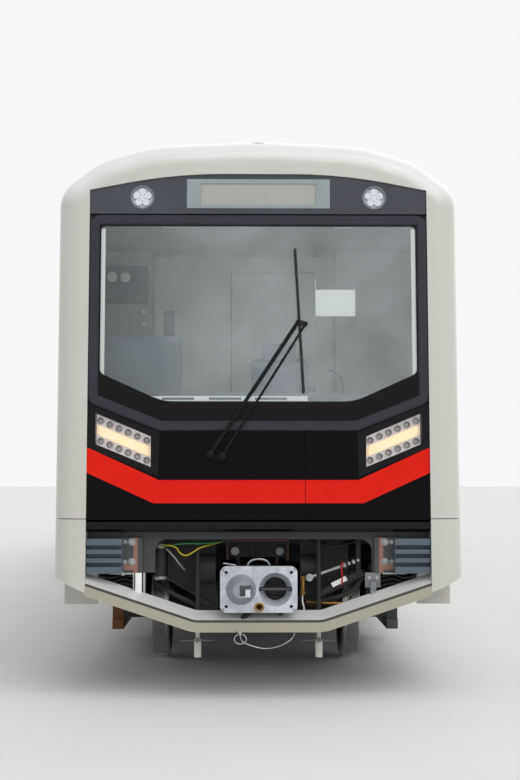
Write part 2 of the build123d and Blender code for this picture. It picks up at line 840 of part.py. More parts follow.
# Release cable: hangs from the clamp on the apron's face to the clamp behind it
cable_corners = [Vector(*point) for point in cable_route]
cable_radii = []
for before, corner, after in zip(cable_corners, cable_corners[1:], cable_corners[2:]):
    shorter = min((corner - before).length, (after - corner).length)
    half_turn = (corner - before).get_angle(after - corner) / 2
    cable_radii.append(0.45 * shorter / math.tan(math.radians(half_turn)))
print("cable radii", [round(radius, 1) for radius in cable_radii])
with BuildPart() as release_cable:
    with BuildLine() as cable_path:
        FilletPolyline(*[(x, y, up(height)) for x, y, height in cable_route], radius=cable_radii)
    with BuildSketch(Plane(origin=cable_path.line @ 0, z_dir=cable_path.line % 0)):
        Circle(cable_radius)
    sweep(path=cable_path.wires()[0])
cable_length = cable_path.wires()[0].length
volume_share = release_cable.part.volume / (math.pi * cable_radius**2 * cable_length)
print("cable length", round(cable_length, 1), "volume share", round(volume_share, 4))
release_cable.part.label = "release_cable"
export_step(release_cable.part, "parts/release_cable.step")

# Headstock: front plate with the coupler's opening, posts and the longitudinal beams behind it
headstock_high = floor_low - seat
post_inner = 800.0
post_outer = 1090.0
post_end_y = -8950.0
with BuildPart() as headstock:
    plate_back = headstock_y + headstock_plate
    headstock_half = mask_half - seat
    plate_z = (up(headstock_low), up(headstock_high))
    block((-headstock_half, headstock_half), (headstock_y, plate_back), plate_z)
    mouth = [
        (-headstock_gap_left, up(headstock_low - 120)),
        (-headstock_gap_left, up(headstock_gap_top)),
        (headstock_gap_right, up(headstock_gap_top)),
        (headstock_gap_right, up(headstock_low - 120)),
    ]
    mouth_face = outline(across(plate_back + 1), mouth, radius=80)
    extrude(mouth_face, amount=headstock_plate + 2, mode=Mode.SUBTRACT)
    for sign in (-1, 1):
        low, high = sorted((sign * post_inner, sign * post_outer))
        block((low, high), (plate_back, post_end_y), (up(headstock_low + 40), up(headstock_high)))
        hollow_z = (up(headstock_low + 65), up(headstock_high - 25))
        block((low + 25, high - 25), (plate_back + 30, post_end_y + 1), hollow_z, mode=Mode.SUBTRACT)
headstock.part.label = "headstock"
export_step(headstock.part, "parts/headstock.step")

# Anticlimbers: ribbed blocks on mounting plates
with BuildPart() as anticlimbers:
    rib_pitch = (anticlimber_high - anticlimber_low) / anticlimber_ribs
    face_y = headstock_y - seat - anticlimber_depth
    for sign in (-1, 1):
        low, high = sorted((sign * anticlimber_inner, sign * (mask_half - 3)))
        with BuildSketch(Plane.YZ.offset(low)):
            with Locations((face_y + anticlimber_depth / 2, up((anticlimber_low + anticlimber_high) / 2))):
                Rectangle(anticlimber_depth, anticlimber_high - anticlimber_low)
            for rib in range(1, anticlimber_ribs):
                groove_z = up(anticlimber_low + rib * rib_pitch)
                with BuildLine():
                    Polyline(
                        (face_y, groove_z - groove_height / 2),
                        (face_y + groove_depth, groove_z - groove_root / 2),
                        (face_y + groove_depth, groove_z + groove_root / 2),
                        (face_y, groove_z + groove_height / 2),
                        close=True,
                    )
                make_face(mode=Mode.SUBTRACT)
        extrude(amount=high - low)
        low, high = sorted((sign * mount_plate_inner, sign * anticlimber_inner))
        plate_z = (up(anticlimber_low - 5), up(anticlimber_high + 5))
        block((low, high), (headstock_y - seat - 22, headstock_y - seat), plate_z)
anticlimbers.part.label = "anticlimbers"
export_step(anticlimbers.part, "parts/anticlimbers.step")

# Coupler head: face plate with cone and funnel, the lock's hook in the cone, the link bar in the
# funnel, the air line's socket under them, and the tapered housing behind
plate_back_y = coupler_face_y + coupler_plate
housing_end_y = -9400.0
housing_end_radius = 92.0
coupler_bolt_x = 214.0
coupler_bolt_z = 111.0
coupler_bolt_radius = 11.0
cone_ring = 12.0
funnel_depth = 90.0
funnel_taper = 25
pocket_reach = (-56.0, 56.0)  # pocket behind the funnel, from side to side of the funnel's centre
pocket_half = 50.0
lock_opening = (-126.0, -52.0)
lock_half = 34.0
slot_opening = (-53.0, -12.0)
slot_half = 14.0
hook_reach = (-88.0, -56.0)
link_radius = 10.0
socket_place = (3.0, coupler_height - 113.0)
socket_radius = 19.0
socket_ring = 12.0
socket_depth = 34.0
with BuildPart() as coupler_head:
    with BuildSketch(across(plate_back_y)):
        with Locations((0, up(coupler_height))):
            RectangleRounded(2 * coupler_half, coupler_tall, 45)
            with GridLocations(2 * coupler_bolt_x, 2 * coupler_bolt_z, 2, 2):
                Circle(coupler_bolt_radius, mode=Mode.SUBTRACT)
    extrude(amount=coupler_plate)
    with BuildSketch(across(plate_back_y)):
        with Locations((0, up(coupler_height))):
            RectangleRounded(470, 230, 50)
    with BuildSketch(across(housing_end_y)):
        with Locations((0, up(coupler_height))):
            Circle(housing_end_radius)
    loft()
    with BuildSketch(across(coupler_face_y)):
        with Locations((cone_x, up(coupler_height))):
            Circle(cone_root_radius)
    extrude(amount=cone_ring)
    cone_reach = coupler_face_y - cone_ring - coupler_tip_y
    # Cone sections: distance in front of the ring, radius
    for ahead, radius in (
        (0, cone_root_radius - cone_ring),
        (cone_reach - 18, cone_tip_radius + 14),
        (cone_reach, cone_tip_radius),
    ):
        with BuildSketch(across(coupler_face_y - cone_ring - ahead)):
            with Locations((cone_x, up(coupler_height))):
                Circle(radius)
    loft(ruled=True)
    funnel_origin = (funnel_x, coupler_face_y, up(coupler_height))
    with BuildSketch(Plane(origin=funnel_origin, x_dir=(1, 0, 0), z_dir=(0, 1, 0))):
        Circle(funnel_radius)
    extrude(amount=funnel_depth, taper=funnel_taper, mode=Mode.SUBTRACT)
    pocket_x = [funnel_x + reach for reach in pocket_reach]
    pocket_y = (coupler_face_y + funnel_depth - 1, coupler_face_y + funnel_depth + 40)
    pocket_z = (up(coupler_height - pocket_half), up(coupler_height + pocket_half))
    block(pocket_x, pocket_y, pocket_z, mode=Mode.SUBTRACT)
    lock_y = (coupler_tip_y - 1, coupler_face_y - cone_ring)
    for opening_x, half in ((lock_opening, lock_half), (slot_opening, slot_half)):
        block(opening_x, lock_y, (up(coupler_height - half), up(coupler_height + half)), mode=Mode.SUBTRACT)
    hook_z = (up(coupler_height - lock_half - 10), up(coupler_height + 6))
    block(hook_reach, (coupler_tip_y + 14, coupler_face_y - cone_ring), hook_z)
    with BuildSketch(Plane.YZ.offset(funnel_x - funnel_radius - 6)):
        with Locations((coupler_face_y + 28, up(coupler_height))):
            Circle(link_radius)
    extrude(amount=2 * funnel_radius)
    socket_x, socket_height = socket_place
    with Locations(Location((socket_x, coupler_face_y, up(socket_height)), (90, 0, 0))):
        Cylinder(socket_radius + socket_ring, 2 * socket_ring)
        Cylinder(socket_radius, 2 * socket_depth, mode=Mode.SUBTRACT)
coupler_head.part.label = "coupler_head"
export_step(coupler_head.part, "parts/coupler_head.step")

# Coupler bar: round shank with a clamp ring, and the eye that swings on the draft gear's pin
with BuildPart() as coupler_bar:
    with BuildSketch(across(coupler_pivot_y)):
        with Locations((0, up(coupler_height))):
            Circle(shank_radius)
    extrude(amount=coupler_pivot_y - housing_end_y - seat)
    with BuildSketch(across(housing_end_y + 90)):
        with Locations((0, up(coupler_height))):
            Circle(shank_radius + 32)
    extrude(amount=70)
    with BuildSketch(Plane.XY.offset(up(coupler_height - eye_tall / 2 - 10))):
        with Locations((0, coupler_pivot_y)):
            Circle(eye_radius)
    extrude(amount=eye_tall + 20)
    with BuildSketch(Plane.XY.offset(up(coupler_height - eye_tall / 2 - 11))):
        with Locations((0, coupler_pivot_y)):
            Circle(pivot_pin_radius + turn_gap)
    extrude(amount=eye_tall + 22, mode=Mode.SUBTRACT)
coupler_bar.part.label = "coupler_bar"
export_step(coupler_bar.part, "parts/coupler_bar.step")

# Draft gear: a bracket under the floor that holds the coupler's pin
fork_half = 150.0
fork_plate = 25.0
fork_front_y = coupler_pivot_y - 120
fork_rear_y = coupler_pivot_y + 170
eye_reach = eye_tall / 2 + 10
fork_low = coupler_height - eye_reach - seat - fork_plate
fork_high = coupler_height + eye_reach + 2
carrier_half = 200.0
carrier_low = 870.0
carrier_bolt = (158.0, 910.0)
carrier_bolt_radius = 24.0
arch_half = 218.0
arch_band = 20.0
arch_low = 850.0
arch_high = 988.0
with BuildPart() as draft_gear:
    carrier_y = fork_front_y - fork_plate
    carrier_z = (up(carrier_low), up(floor_low - seat))
    block((-carrier_half, carrier_half), (carrier_y, fork_front_y + fork_plate), carrier_z)
    for rib_x in (-70, 0, 70):
        block((rib_x - 6, rib_x + 6), (carrier_y - 20, carrier_y), (up(carrier_low), up(arch_high)))
    bolt_x, bolt_height = carrier_bolt
    with BuildSketch(across(carrier_y)):
        with Locations((-bolt_x, up(bolt_height)), (bolt_x, up(bolt_height))):
            Circle(carrier_bolt_radius)
    extrude(amount=14)
    inner = arch_half - arch_band
    arch = [(-arch_half, up(arch_low)), (-arch_half, up(arch_high)), (arch_half, up(arch_high))]
    arch += [(arch_half, up(arch_low)), (inner, up(arch_low)), (inner, up(arch_high - arch_band))]
    arch += [(-inner, up(arch_high - arch_band)), (-inner, up(arch_low))]
    extrude(outline(across(fork_front_y), arch), amount=fork_plate + 30)
    for low in (fork_low, fork_high):
        block((-fork_half, fork_half), (fork_front_y, fork_rear_y), (up(low), up(low + fork_plate)))
    block((-fork_half, fork_half), (fork_rear_y - 30, fork_rear_y), (up(fork_low), up(floor_low - seat)))
    cheek = [
        (fork_rear_y, up(floor_low - seat)),
        (fork_front_y, up(floor_low - seat)),
        (fork_front_y + 60, up(fork_high)),
        (fork_rear_y, up(fork_high)),
    ]
    for x in (-fork_half, fork_half - fork_plate):
        extrude(outline(Plane.YZ.offset(x), cheek), amount=fork_plate)
    with BuildSketch(Plane.XY.offset(up(coupler_height - eye_reach - 20))):
        with Locations((0, coupler_pivot_y)):
            Circle(pivot_pin_radius)
    extrude(amount=2 * eye_reach + 40)
draft_gear.part.label = "draft_gear"
export_step(draft_gear.part, "parts/draft_gear.step")

# Gear beside the coupler, hung from the floor: a flanged web with a rubber side stop on each side,
# an air cylinder, a slanted damper and two sensor rods
web_y = -9200.0
web_thickness = 14.0
web_inner = 290.0
web_outer = 620.0
web_inner_low = 545.0
web_outer_low = 740.0
web_flange = 50.0
stop_reach = (290.0, 415.0)
stop_y = -9250.0
stop_height = 812.0
stop_radius = 94.0
stop_bore = (58.0, 34.0)  # radius of the recess in the stop's outer end, and its depth
cylinder_place = (-664.0, -9330.0)
cylinder_low = 752.0
cylinder_radius = 40.0
damper_place = (562.0, -9330.0)
damper_height = 718.0
damper_radius = 30.0
damper_length = 330.0
damper_tilt = 27.0
damper_pin_radius = 12.0
rod_x = 408.0
rod_y = -9395.0
rod_low = 228.0
rod_radius = 14.0
rod_sleeve = 120.0
rod_foot = 38.0
gear_top = up(floor_low - seat)
with BuildPart() as front_gear:
    for sign in (-1, 1):
        web = [
            (sign * web_inner, gear_top),
            (sign * web_outer, gear_top),
            (sign * web_outer, up(web_outer_low)),
            (sign * web_inner, up(web_inner_low)),
        ]
        extrude(outline(across(web_y), web), amount=web_thickness)
        flange = [web[2], web[3]]
        flange += [(x, z + web_thickness) for x, z in (web[3], web[2])]
        extrude(outline(across(web_y), flange), amount=web_thickness + web_flange)
        stop_low, stop_high = sorted(sign * reach for reach in stop_reach)
        with BuildSketch(Plane.YZ.offset(stop_low)):
            with Locations((stop_y, up(stop_height))):
                Circle(stop_radius)
        extrude(amount=stop_high - stop_low)
        bore_radius, bore_depth = stop_bore
        with BuildSketch(Plane.YZ.offset(sign * stop_reach[1])):
            with Locations((stop_y, up(stop_height))):
                Circle(bore_radius)
        extrude(amount=-sign * bore_depth, mode=Mode.SUBTRACT)
    with BuildSketch(Plane.XY.offset(up(cylinder_low))):
        with Locations(cylinder_place):
            Circle(cylinder_radius)
    extrude(amount=gear_top - up(cylinder_low))
    damper_x, damper_y = damper_place
    with Locations(Location((damper_x, damper_y, up(damper_height)), (0, 90 - damper_tilt, 0))):
        Cylinder(damper_radius, damper_length)
    eye_x = damper_length / 2 * math.cos(math.radians(damper_tilt)) - damper_radius
    eye_z = damper_length / 2 * math.sin(math.radians(damper_tilt)) - damper_radius / 2
    with BuildSketch(across(web_y)):
        with Locations((damper_x - eye_x, up(damper_height - eye_z))):
            Circle(damper_pin_radius)
    extrude(amount=web_y - damper_y)
    damper_hanger_x = (damper_x + eye_x - 15, damper_x + eye_x + 15)
    block(damper_hanger_x, (damper_y - 25, damper_y + 25), (up(damper_height + eye_z), gear_top))
    for x in (-rod_x, rod_x):
        with BuildSketch(Plane.XY.offset(up(rod_low))):
            with Locations((x, rod_y)):
                Circle(rod_radius)
        extrude(amount=gear_top - up(rod_low))
        block((x - rod_foot, x + rod_foot), (rod_y - rod_foot, rod_y + rod_foot), (gear_top - 20, gear_top))
        with Locations((x, rod_y, up(rod_low + rod_sleeve / 2))):
            Cylinder(rod_radius + 10, rod_sleeve)
front_gear.part.label = "front_gear"
export_step(front_gear.part, "parts/front_gear.step")

# Passenger doors: two leaves in each opening, with window holes
leaf_thickness = 34.0
leaf_outer = body_half - leaf_recess
leaf_width = (door_width - leaf_gap) / 2 - seat
leaf_low = floor_height + seat
leaf_high = floor_height + door_tall - seat
leaf_window_middle = (leaf_window_low + leaf_window_high) / 2
leaf_window_tall = leaf_window_high - leaf_window_low
leaf_centres = [centre + sign * (leaf_gap + leaf_width) / 2 for centre in door_centres for sign in (-1, 1)]
with BuildPart() as passenger_doors:
    for sign in (-1, 1):
        with BuildSketch(Plane.YZ.offset(sign * leaf_outer)):
            for centre in leaf_centres:
                with Locations((centre, up((leaf_low + leaf_high) / 2))):
                    RectangleRounded(leaf_width, leaf_high - leaf_low, 12)
                with Locations((centre, up(leaf_window_middle))):
                    RectangleRounded(leaf_window_width, leaf_window_tall, window_radius, mode=Mode.SUBTRACT)
        extrude(amount=-sign * leaf_thickness)
passenger_doors.part.label = "passenger_doors"
export_step(passenger_doors.part, "parts/passenger_doors.step")

# Panes of the saloon windows and of the door leaves
with BuildPart() as side_glazing:
    for sign in (-1, 1):
        with BuildSketch(Plane.YZ.offset(sign * (body_half - 2))):
            for centre, width in windows:
                with Locations((centre, up((window_low + window_high) / 2))):
                    RectangleRounded(width - 2 * seat, window_high - window_low - 2 * seat, window_radius)
        extrude(amount=-sign * pane_thickness)
        with BuildSketch(Plane.YZ.offset(sign * (leaf_outer - 1))):
            for centre in leaf_centres:
                with Locations((centre, up(leaf_window_middle))):
                    RectangleRounded(leaf_window_width - 2 * seat, leaf_window_tall - 2 * seat, window_radius)
        extrude(amount=-sign * pane_thickness)
side_glazing.part.label = "side_glazing"
export_step(side_glazing.part, "parts/side_glazing.step")

# Cab doors: leaf with knuckles round the wall's pins, and its pane
cab_leaf_front = cab_door_front_y + cab_door_front_gap
cab_leaf_rear = cab_door_hinge_y - cab_door_gap
cab_leaf_low = door_low + cab_door_gap
cab_leaf_high = door_low + cab_door_tall - cab_door_gap
cab_leaf_middle = (cab_leaf_front + cab_leaf_rear) / 2
cab_glass_middle = (cab_glass_low + cab_glass_high) / 2
cab_glass_tall = cab_glass_high - cab_glass_low
for side_name, side in (("left", -1), ("right", 1)):
    with BuildPart() as cab_door:
        with BuildSketch(Plane.YZ.offset(side * (body_half - 1))):
            with Locations((cab_leaf_middle, up((cab_leaf_low + cab_leaf_high) / 2))):
                Rectangle(cab_leaf_rear - cab_leaf_front, cab_leaf_high - cab_leaf_low)
            with Locations((cab_leaf_middle, up(cab_glass_middle))):
                RectangleRounded(cab_glass_width, cab_glass_tall, window_radius, mode=Mode.SUBTRACT)
        extrude(amount=-side * cab_door_thickness)
        for height in hinge_heights:
            strap_x = sorted((side * (hinge_x - 5), side * (body_half - cab_door_thickness)))
            strap_z = (up(height - knuckle_tall / 2 + 2), up(height + knuckle_tall / 2 - 2))
            block(strap_x, (cab_leaf_rear - 60, cab_leaf_rear), strap_z)
            with Locations((side * hinge_x, cab_door_hinge_y, up(height))):
                Cylinder(knuckle_radius, knuckle_tall - 4)
                Cylinder(hinge_pin_radius + turn_gap, knuckle_tall, mode=Mode.SUBTRACT)
    cab_door.part.label = f"cab_door_{side_name}"
    export_step(cab_door.part, f"parts/cab_door_{side_name}.step")
    with BuildPart() as cab_glass:
        with BuildSketch(Plane.YZ.offset(side * (body_half - 3))):
            with Locations((cab_leaf_middle, up(cab_glass_middle))):
                RectangleRounded(cab_glass_width - 2 * seat, cab_glass_tall - 2 * seat, window_radius)
        extrude(amount=-side * pane_thickness)
    cab_glass.part.label = f"cab_glass_{side_name}"
    export_step(cab_glass.part, f"parts/cab_glass_{side_name}.step")

# Skirts under the sides, with front end plates
skirt_low = 545.0
skirt_thickness = 30.0
skirt_end_inner = 1120.0
skirt_end_outer = 1350.0
skirt_panel_length = 2400.0
with BuildPart() as skirts:
    for sign in (-1, 1):
        low, high = sorted((sign * (body_half - skirt_thickness - 8), sign * (body_half - 8)))
        block((low, high), (corner_end_y + seat, shell_end_y - 40), (up(skirt_low), up(sole_height - seat)))
        low, high = sorted((sign * skirt_end_inner, sign * skirt_end_outer))
        end_y = (corner_end_y + seat, corner_end_y + seat + 25)
        block((low, high), end_y, (up(skirt_low), up(frame_low - seat)))
        joint_y = corner_end_y + skirt_panel_length
        while joint_y < shell_end_y - 500:
            low, high = sorted((sign * (body_half - 14), sign * body_half))
            joint_z = (up(skirt_low - 1), up(sole_height))
            block((low, high), (joint_y - 4, joint_y + 4), joint_z, mode=Mode.SUBTRACT)
            joint_y += skirt_panel_length
skirts.part.label = "skirts"
export_step(skirts.part, "parts/skirts.step")

# Underfloor cases between the bogies: first edge, length, half width, lower edge
cases = [
    (-4250.0, 1500.0, 1220.0, 420.0),
    (-2650.0, 1100.0, 1180.0, 380.0),
    (-1450.0, 1900.0, 1230.0, 350.0),
    (550.0, 1300.0, 1200.0, 400.0),
    (1950.0, 2200.0, 1230.0, 370.0),
]
slot_count = 6
with BuildPart() as underfloor_cases:
    for first, length, half, low in cases:
        block((-half, half), (first, first + length), (up(low), up(frame_low - seat)))
        for slot in range(slot_count):
            slot_low = low + 120 + slot * 50
            for sign in (-1, 1):
                near, far = sorted((sign * (half - 25), sign * (half + 1)))
                slot_y = (first + 120, first + length - 120)
                block((near, far), slot_y, (up(slot_low), up(slot_low + 22)), mode=Mode.SUBTRACT)
underfloor_cases.part.label = "underfloor_cases"
export_step(underfloor_cases.part, "parts/underfloor_cases.step")

# Side cameras on the fairing's flanks
camera_y = -8720.0
camera_height = 2880.0
camera_reach = 42.0
with BuildPart() as side_cameras:
    for sign in (-1, 1):
        with BuildSketch(Plane.YZ.offset(sign * (body_half + seat))):
            with Locations((camera_y, up(camera_height))):
                RectangleRounded(150, 130, 40)
        extrude(amount=sign * camera_reach, taper=22)
side_cameras.part.label = "side_cameras"
export_step(side_cameras.part, "parts/side_cameras.step")

# Cab bulkhead with the doorway to the saloon and the hinge pins of its door
bulkhead_thickness = 40.0
lining_height = 3235.0
bulkhead_rear_y = bulkhead_y + bulkhead_thickness
doorway_left = -200.0
doorway_right = 500.0
doorway_tall = 1980.0
inner_hinge_x = doorway_right + 3
inner_hinge_y = bulkhead_rear_y + knuckle_radius + 4
inner_hinge_heights = [1400.0, 2800.0]
with BuildPart() as cab_bulkhead:
    extrude(section(bulkhead_rear_y, wall + seat, floor_height - wall), amount=bulkhead_thickness)
    through_y = (bulkhead_y - 1, bulkhead_rear_y + 1)
    block(shell_reach, through_y, (up(floor_height - 100), up(floor_height + seat)), mode=Mode.SUBTRACT)
    doorway_z = (up(floor_height - 1), up(floor_height + doorway_tall))
    block((doorway_left, doorway_right), through_y, doorway_z, mode=Mode.SUBTRACT)
    for height in inner_hinge_heights:
        for low in (height - knuckle_tall / 2 - 30, height + knuckle_tall / 2 + 5):
            lug_x = (inner_hinge_x + 2, inner_hinge_x + 30)
            block(lug_x, (bulkhead_rear_y, inner_hinge_y + knuckle_radius), (up(low), up(low + 25)))
            with Locations((inner_hinge_x, inner_hinge_y, up(low + 12.5))):
                Cylinder(knuckle_radius, 25)
        with Locations((inner_hinge_x, inner_hinge_y, up(height))):
            Cylinder(hinge_pin_radius, knuckle_tall + 20)
cab_bulkhead.part.label = "cab_bulkhead"
export_step(cab_bulkhead.part, "parts/cab_bulkhead.step")

# Door in the bulkhead, which swings into the saloon
with BuildPart() as bulkhead_door:
    inner_leaf_right = inner_hinge_x - 6
    leaf_x = (doorway_left + 10, inner_leaf_right)
    leaf_z = (up(floor_height + 6), up(floor_height + doorway_tall - 6))
    block(leaf_x, (bulkhead_y + 1, bulkhead_rear_y - 1), leaf_z)
    for height in inner_hinge_heights:
        strap_z = (up(height - knuckle_tall / 2 + 2), up(height + knuckle_tall / 2 - 2))
        block((inner_leaf_right - 60, inner_leaf_right), (bulkhead_rear_y - 2, inner_hinge_y + 5), strap_z)
        with Locations((inner_hinge_x, inner_hinge_y, up(height))):
            Cylinder(knuckle_radius, knuckle_tall - 4)
            Cylinder(hinge_pin_radius + turn_gap, knuckle_tall, mode=Mode.SUBTRACT)
bulkhead_door.part.label = "bulkhead_door"
export_step(bulkhead_door.part, "parts/bulkhead_door.step")

# Ceilings of cab and saloon, with light troughs
ceiling_thickness = 25.0
trough_x = 620.0
trough_half = 70.0
ceiling_half = wall_inner - seat
with BuildPart() as ceiling:
    # Stretches: front edge, rear edge, half width
    for front, rear, half in (
        (nose_y + 420, split_y - seat, ceiling_half),
        (split_y, bulkhead_y - seat, ceiling_half),
        (bulkhead_rear_y + seat, end_face_y - seat, ceiling_half),
    ):
        block((-half, half), (front, rear), (up(lining_height), up(lining_height + ceiling_thickness)))
        for sign in (-1, 1):
            low, high = sorted((sign * (trough_x - trough_half), sign * (trough_x + trough_half)))
            trough_z = (up(lining_height - 1), up(lining_height + 12))
            block((low, high), (front + 150, rear - 150), trough_z, mode=Mode.SUBTRACT)
ceiling.part.label = "ceiling"
export_step(ceiling.part, "parts/ceiling.step")

# Saloon benches along the walls: first edge, last edge
benches = [(-7200.0, -6120.0), (-4460.0, -40.0), (1640.0, 6060.0), (7740.0, 9180.0)]
bench_pitch = 480.0
bench_front = 800.0
bench_back = wall_inner - seat
seat_top = floor_height + 450
with BuildPart() as seats:
    for first, last in benches:
        with BuildSketch(across(last)):
            with BuildLine():
                Polyline(
                    (bench_front, up(seat_top)),
                    (bench_front + 25, up(seat_top - 55)),
                    (bench_back - 110, up(seat_top - 75)),
                    (bench_back - 110, up(floor_height + 180)),
                    (bench_back, up(floor_height + 120)),
                    (bench_back, up(floor_height + 940)),
                    (bench_back - 45, up(floor_height + 940)),
                    (bench_back - 95, up(seat_top + 60)),
                    (bench_back - 160, up(seat_top - 15)),
                    (bench_front + 60, up(seat_top + 5)),
                    close=True,
                )
            make_face()
        extrude(amount=last - first)
        count = round((last - first) / bench_pitch)
        for gap in range(1, count):
            middle = first + (last - first) * gap / count
            block(
                (bench_front - 10, bench_back - 70),
                (middle - 12, middle + 12),
                (up(seat_top - 20), up(floor_height + 1000)),
                mode=Mode.SUBTRACT,
            )
    mirror(about=Plane.YZ)
seats.part.label = "seats"
export_step(seats.part, "parts/seats.step")

# Grab rails: poles at the doors and rails over the benches, hung from the ceiling
pole_radius = 17.0
pole_x = 760.0
rail_height = floor_height + 1850
with BuildPart() as grab_rails:
    for centre in door_centres:
        for y in (centre - door_width / 2 - 40, centre + door_width / 2 + 40):
            for x in (-pole_x, pole_x):
                with BuildSketch(Plane.XY.offset(up(floor_height + seat))):
                    with Locations((x, y)):
                        Circle(pole_radius)
                extrude(amount=lining_height - floor_height - 2 * seat)
    for first, last in benches[1:3]:
        for x in (-pole_x, pole_x):
            with BuildSketch(across(last + 140)):
                with Locations((x, up(rail_height))):
                    Circle(pole_radius - 1)
            extrude(amount=last - first + 280)
grab_rails.part.label = "grab_rails"
export_step(grab_rails.part, "parts/grab_rails.step")

# Driver's console, stepped up at the left, with a raised hood over the instruments
console_back_y = -8760.0
console_front_y = -9330.0
console_left = -1080.0
console_step = -540.0
console_right = 1020.0
console_high = 2400.0
console_top = 2010.0
with BuildPart() as console:
    # Stretches across the car: left edge, right edge, height of the front edge, height at the driver
    for left, right, high, low in (
        (console_left, console_step, console_high, 2250.0),
        (console_step, console_right, console_top, 1900.0),
    ):
        with BuildSketch(Plane.YZ.offset(left)):
            with BuildLine():
                Polyline(
                    (console_front_y, up(floor_height + seat)),
                    (console_front_y, up(high - 60)),
                    (console_front_y + 60, up(high)),
                    (console_front_y + 300, up(high - 20)),
                    (console_back_y, up(low)),
                    (console_back_y, up(low - 70)),
                    (console_front_y + 280, up(low - 150)),
                    (console_front_y + 280, up(floor_height + seat)),
                    close=True,
                )
            make_face()
        extrude(amount=right - left)
console.part.label = "console"
export_step(console.part, "parts/console.step")

# Cab cabinets against the bulkhead: left edge, right edge, depth, height
cabinets = [(-1290.0, -830.0, 380.0, 3225.0), (-820.0, -330.0, 300.0, 2050.0), (640.0, 1290.0, 380.0, 3225.0)]
with BuildPart() as cab_cabinets:
    for left, right, depth, height in cabinets:
        cabinet_y = (bulkhead_y - seat - depth, bulkhead_y - seat)
        block((left, right), cabinet_y, (up(floor_height + seat), up(height)))
        for share in (0.25, 0.5, 0.75):
            line = floor_height + (height - floor_height) * share
            line_y = (cabinet_y[0] - 1, cabinet_y[0] + 5)
            block((left - 1, right + 1), line_y, (up(line - 3), up(line + 3)), mode=Mode.SUBTRACT)
cab_cabinets.part.label = "cab_cabinets"
export_step(cab_cabinets.part, "parts/cab_cabinets.step")

# Driver's seat on its pedestal
driver_x = 180.0
driver_y = -8330.0
driver_seat_top = floor_height + 520
with BuildPart() as driver_seat:
    with BuildSketch(Plane.XY.offset(up(floor_height + seat))):
        with Locations((driver_x, driver_y)):
            Circle(150)
    extrude(amount=30)
    with BuildSketch(Plane.XY.offset(up(floor_height + 30))):
        with Locations((driver_x, driver_y)):
            Circle(55)
    extrude(amount=driver_seat_top - 110 - floor_height - 30)
    with BuildSketch(Plane.XY.offset(up(driver_seat_top - 110))):
        with Locations((driver_x, driver_y)):
            RectangleRounded(500, 470, 90)
    extrude(amount=110)
    with BuildSketch(Plane.YZ.offset(driver_x - 235)):
        with BuildLine():
            Polyline(
                (driver_y + 150, up(driver_seat_top - 60)),
                (driver_y + 235, up(driver_seat_top - 60)),
                (driver_y + 360, up(driver_seat_top + 760)),
                (driver_y + 290, up(driver_seat_top + 770)),
                close=True,
            )
        make_face()
    extrude(amount=470)
driver_seat.part.label = "driver_seat"
export_step(driver_seat.part, "parts/driver_seat.step")

# Windscreen wiper: main arm, slimmer second arm and the blade
# Arms: name, foot, top, half width
wiper_bars = [
    ("wiper_arm", wiper_pivot, wiper_top, arm_half),
    ("wiper_link", wiper_second, wiper_second_top, link_half),
]
for name, foot, top, half in wiper_bars:
    with BuildPart() as wiper_bar:
        bar_plane = mask_plane(-arm_back)
        extrude(bar_face(bar_plane, foot, top, half), amount=arm_thickness)
        with BuildSketch(bar_plane):
            with Locations(foot):
                Circle(boss_radius)
        extrude(amount=arm_thickness)
        with BuildSketch(bar_plane):
            with Locations(foot):
                Circle(spindle_radius + turn_gap)
        extrude(amount=arm_thickness, mode=Mode.SUBTRACT)
        if name == "wiper_arm":
            with BuildSketch(bar_plane):
                with Locations(top):
                    Circle(blade_pin_radius + turn_gap)
            extrude(amount=arm_thickness, mode=Mode.SUBTRACT)
    wiper_bar.part.label = name
    export_step(wiper_bar.part, f"parts/{name}.step")
with BuildPart() as wiper_blade:
    blade_plane = mask_plane(-blade_back)
    blade_thickness = arm_back - blade_gap - blade_back
    blade_middle = along(blade_high, blade_low, 0.5)
    # Blade and its two holders: start, end, half width
    for start, end, half in (
        (blade_high, blade_low, blade_half),
        (wiper_top, wiper_second_top, 16),
        (wiper_top, blade_middle, 10),
    ):
        extrude(bar_face(blade_plane, start, end, half), amount=blade_thickness)
    with BuildSketch(mask_plane(blade_gap - arm_back)):
        with Locations(wiper_top):
            Circle(blade_pin_radius)
    extrude(amount=blade_gap + arm_thickness - 2)
wiper_blade.part.label = "wiper_blade"
export_step(wiper_blade.part, "parts/wiper_blade.step")

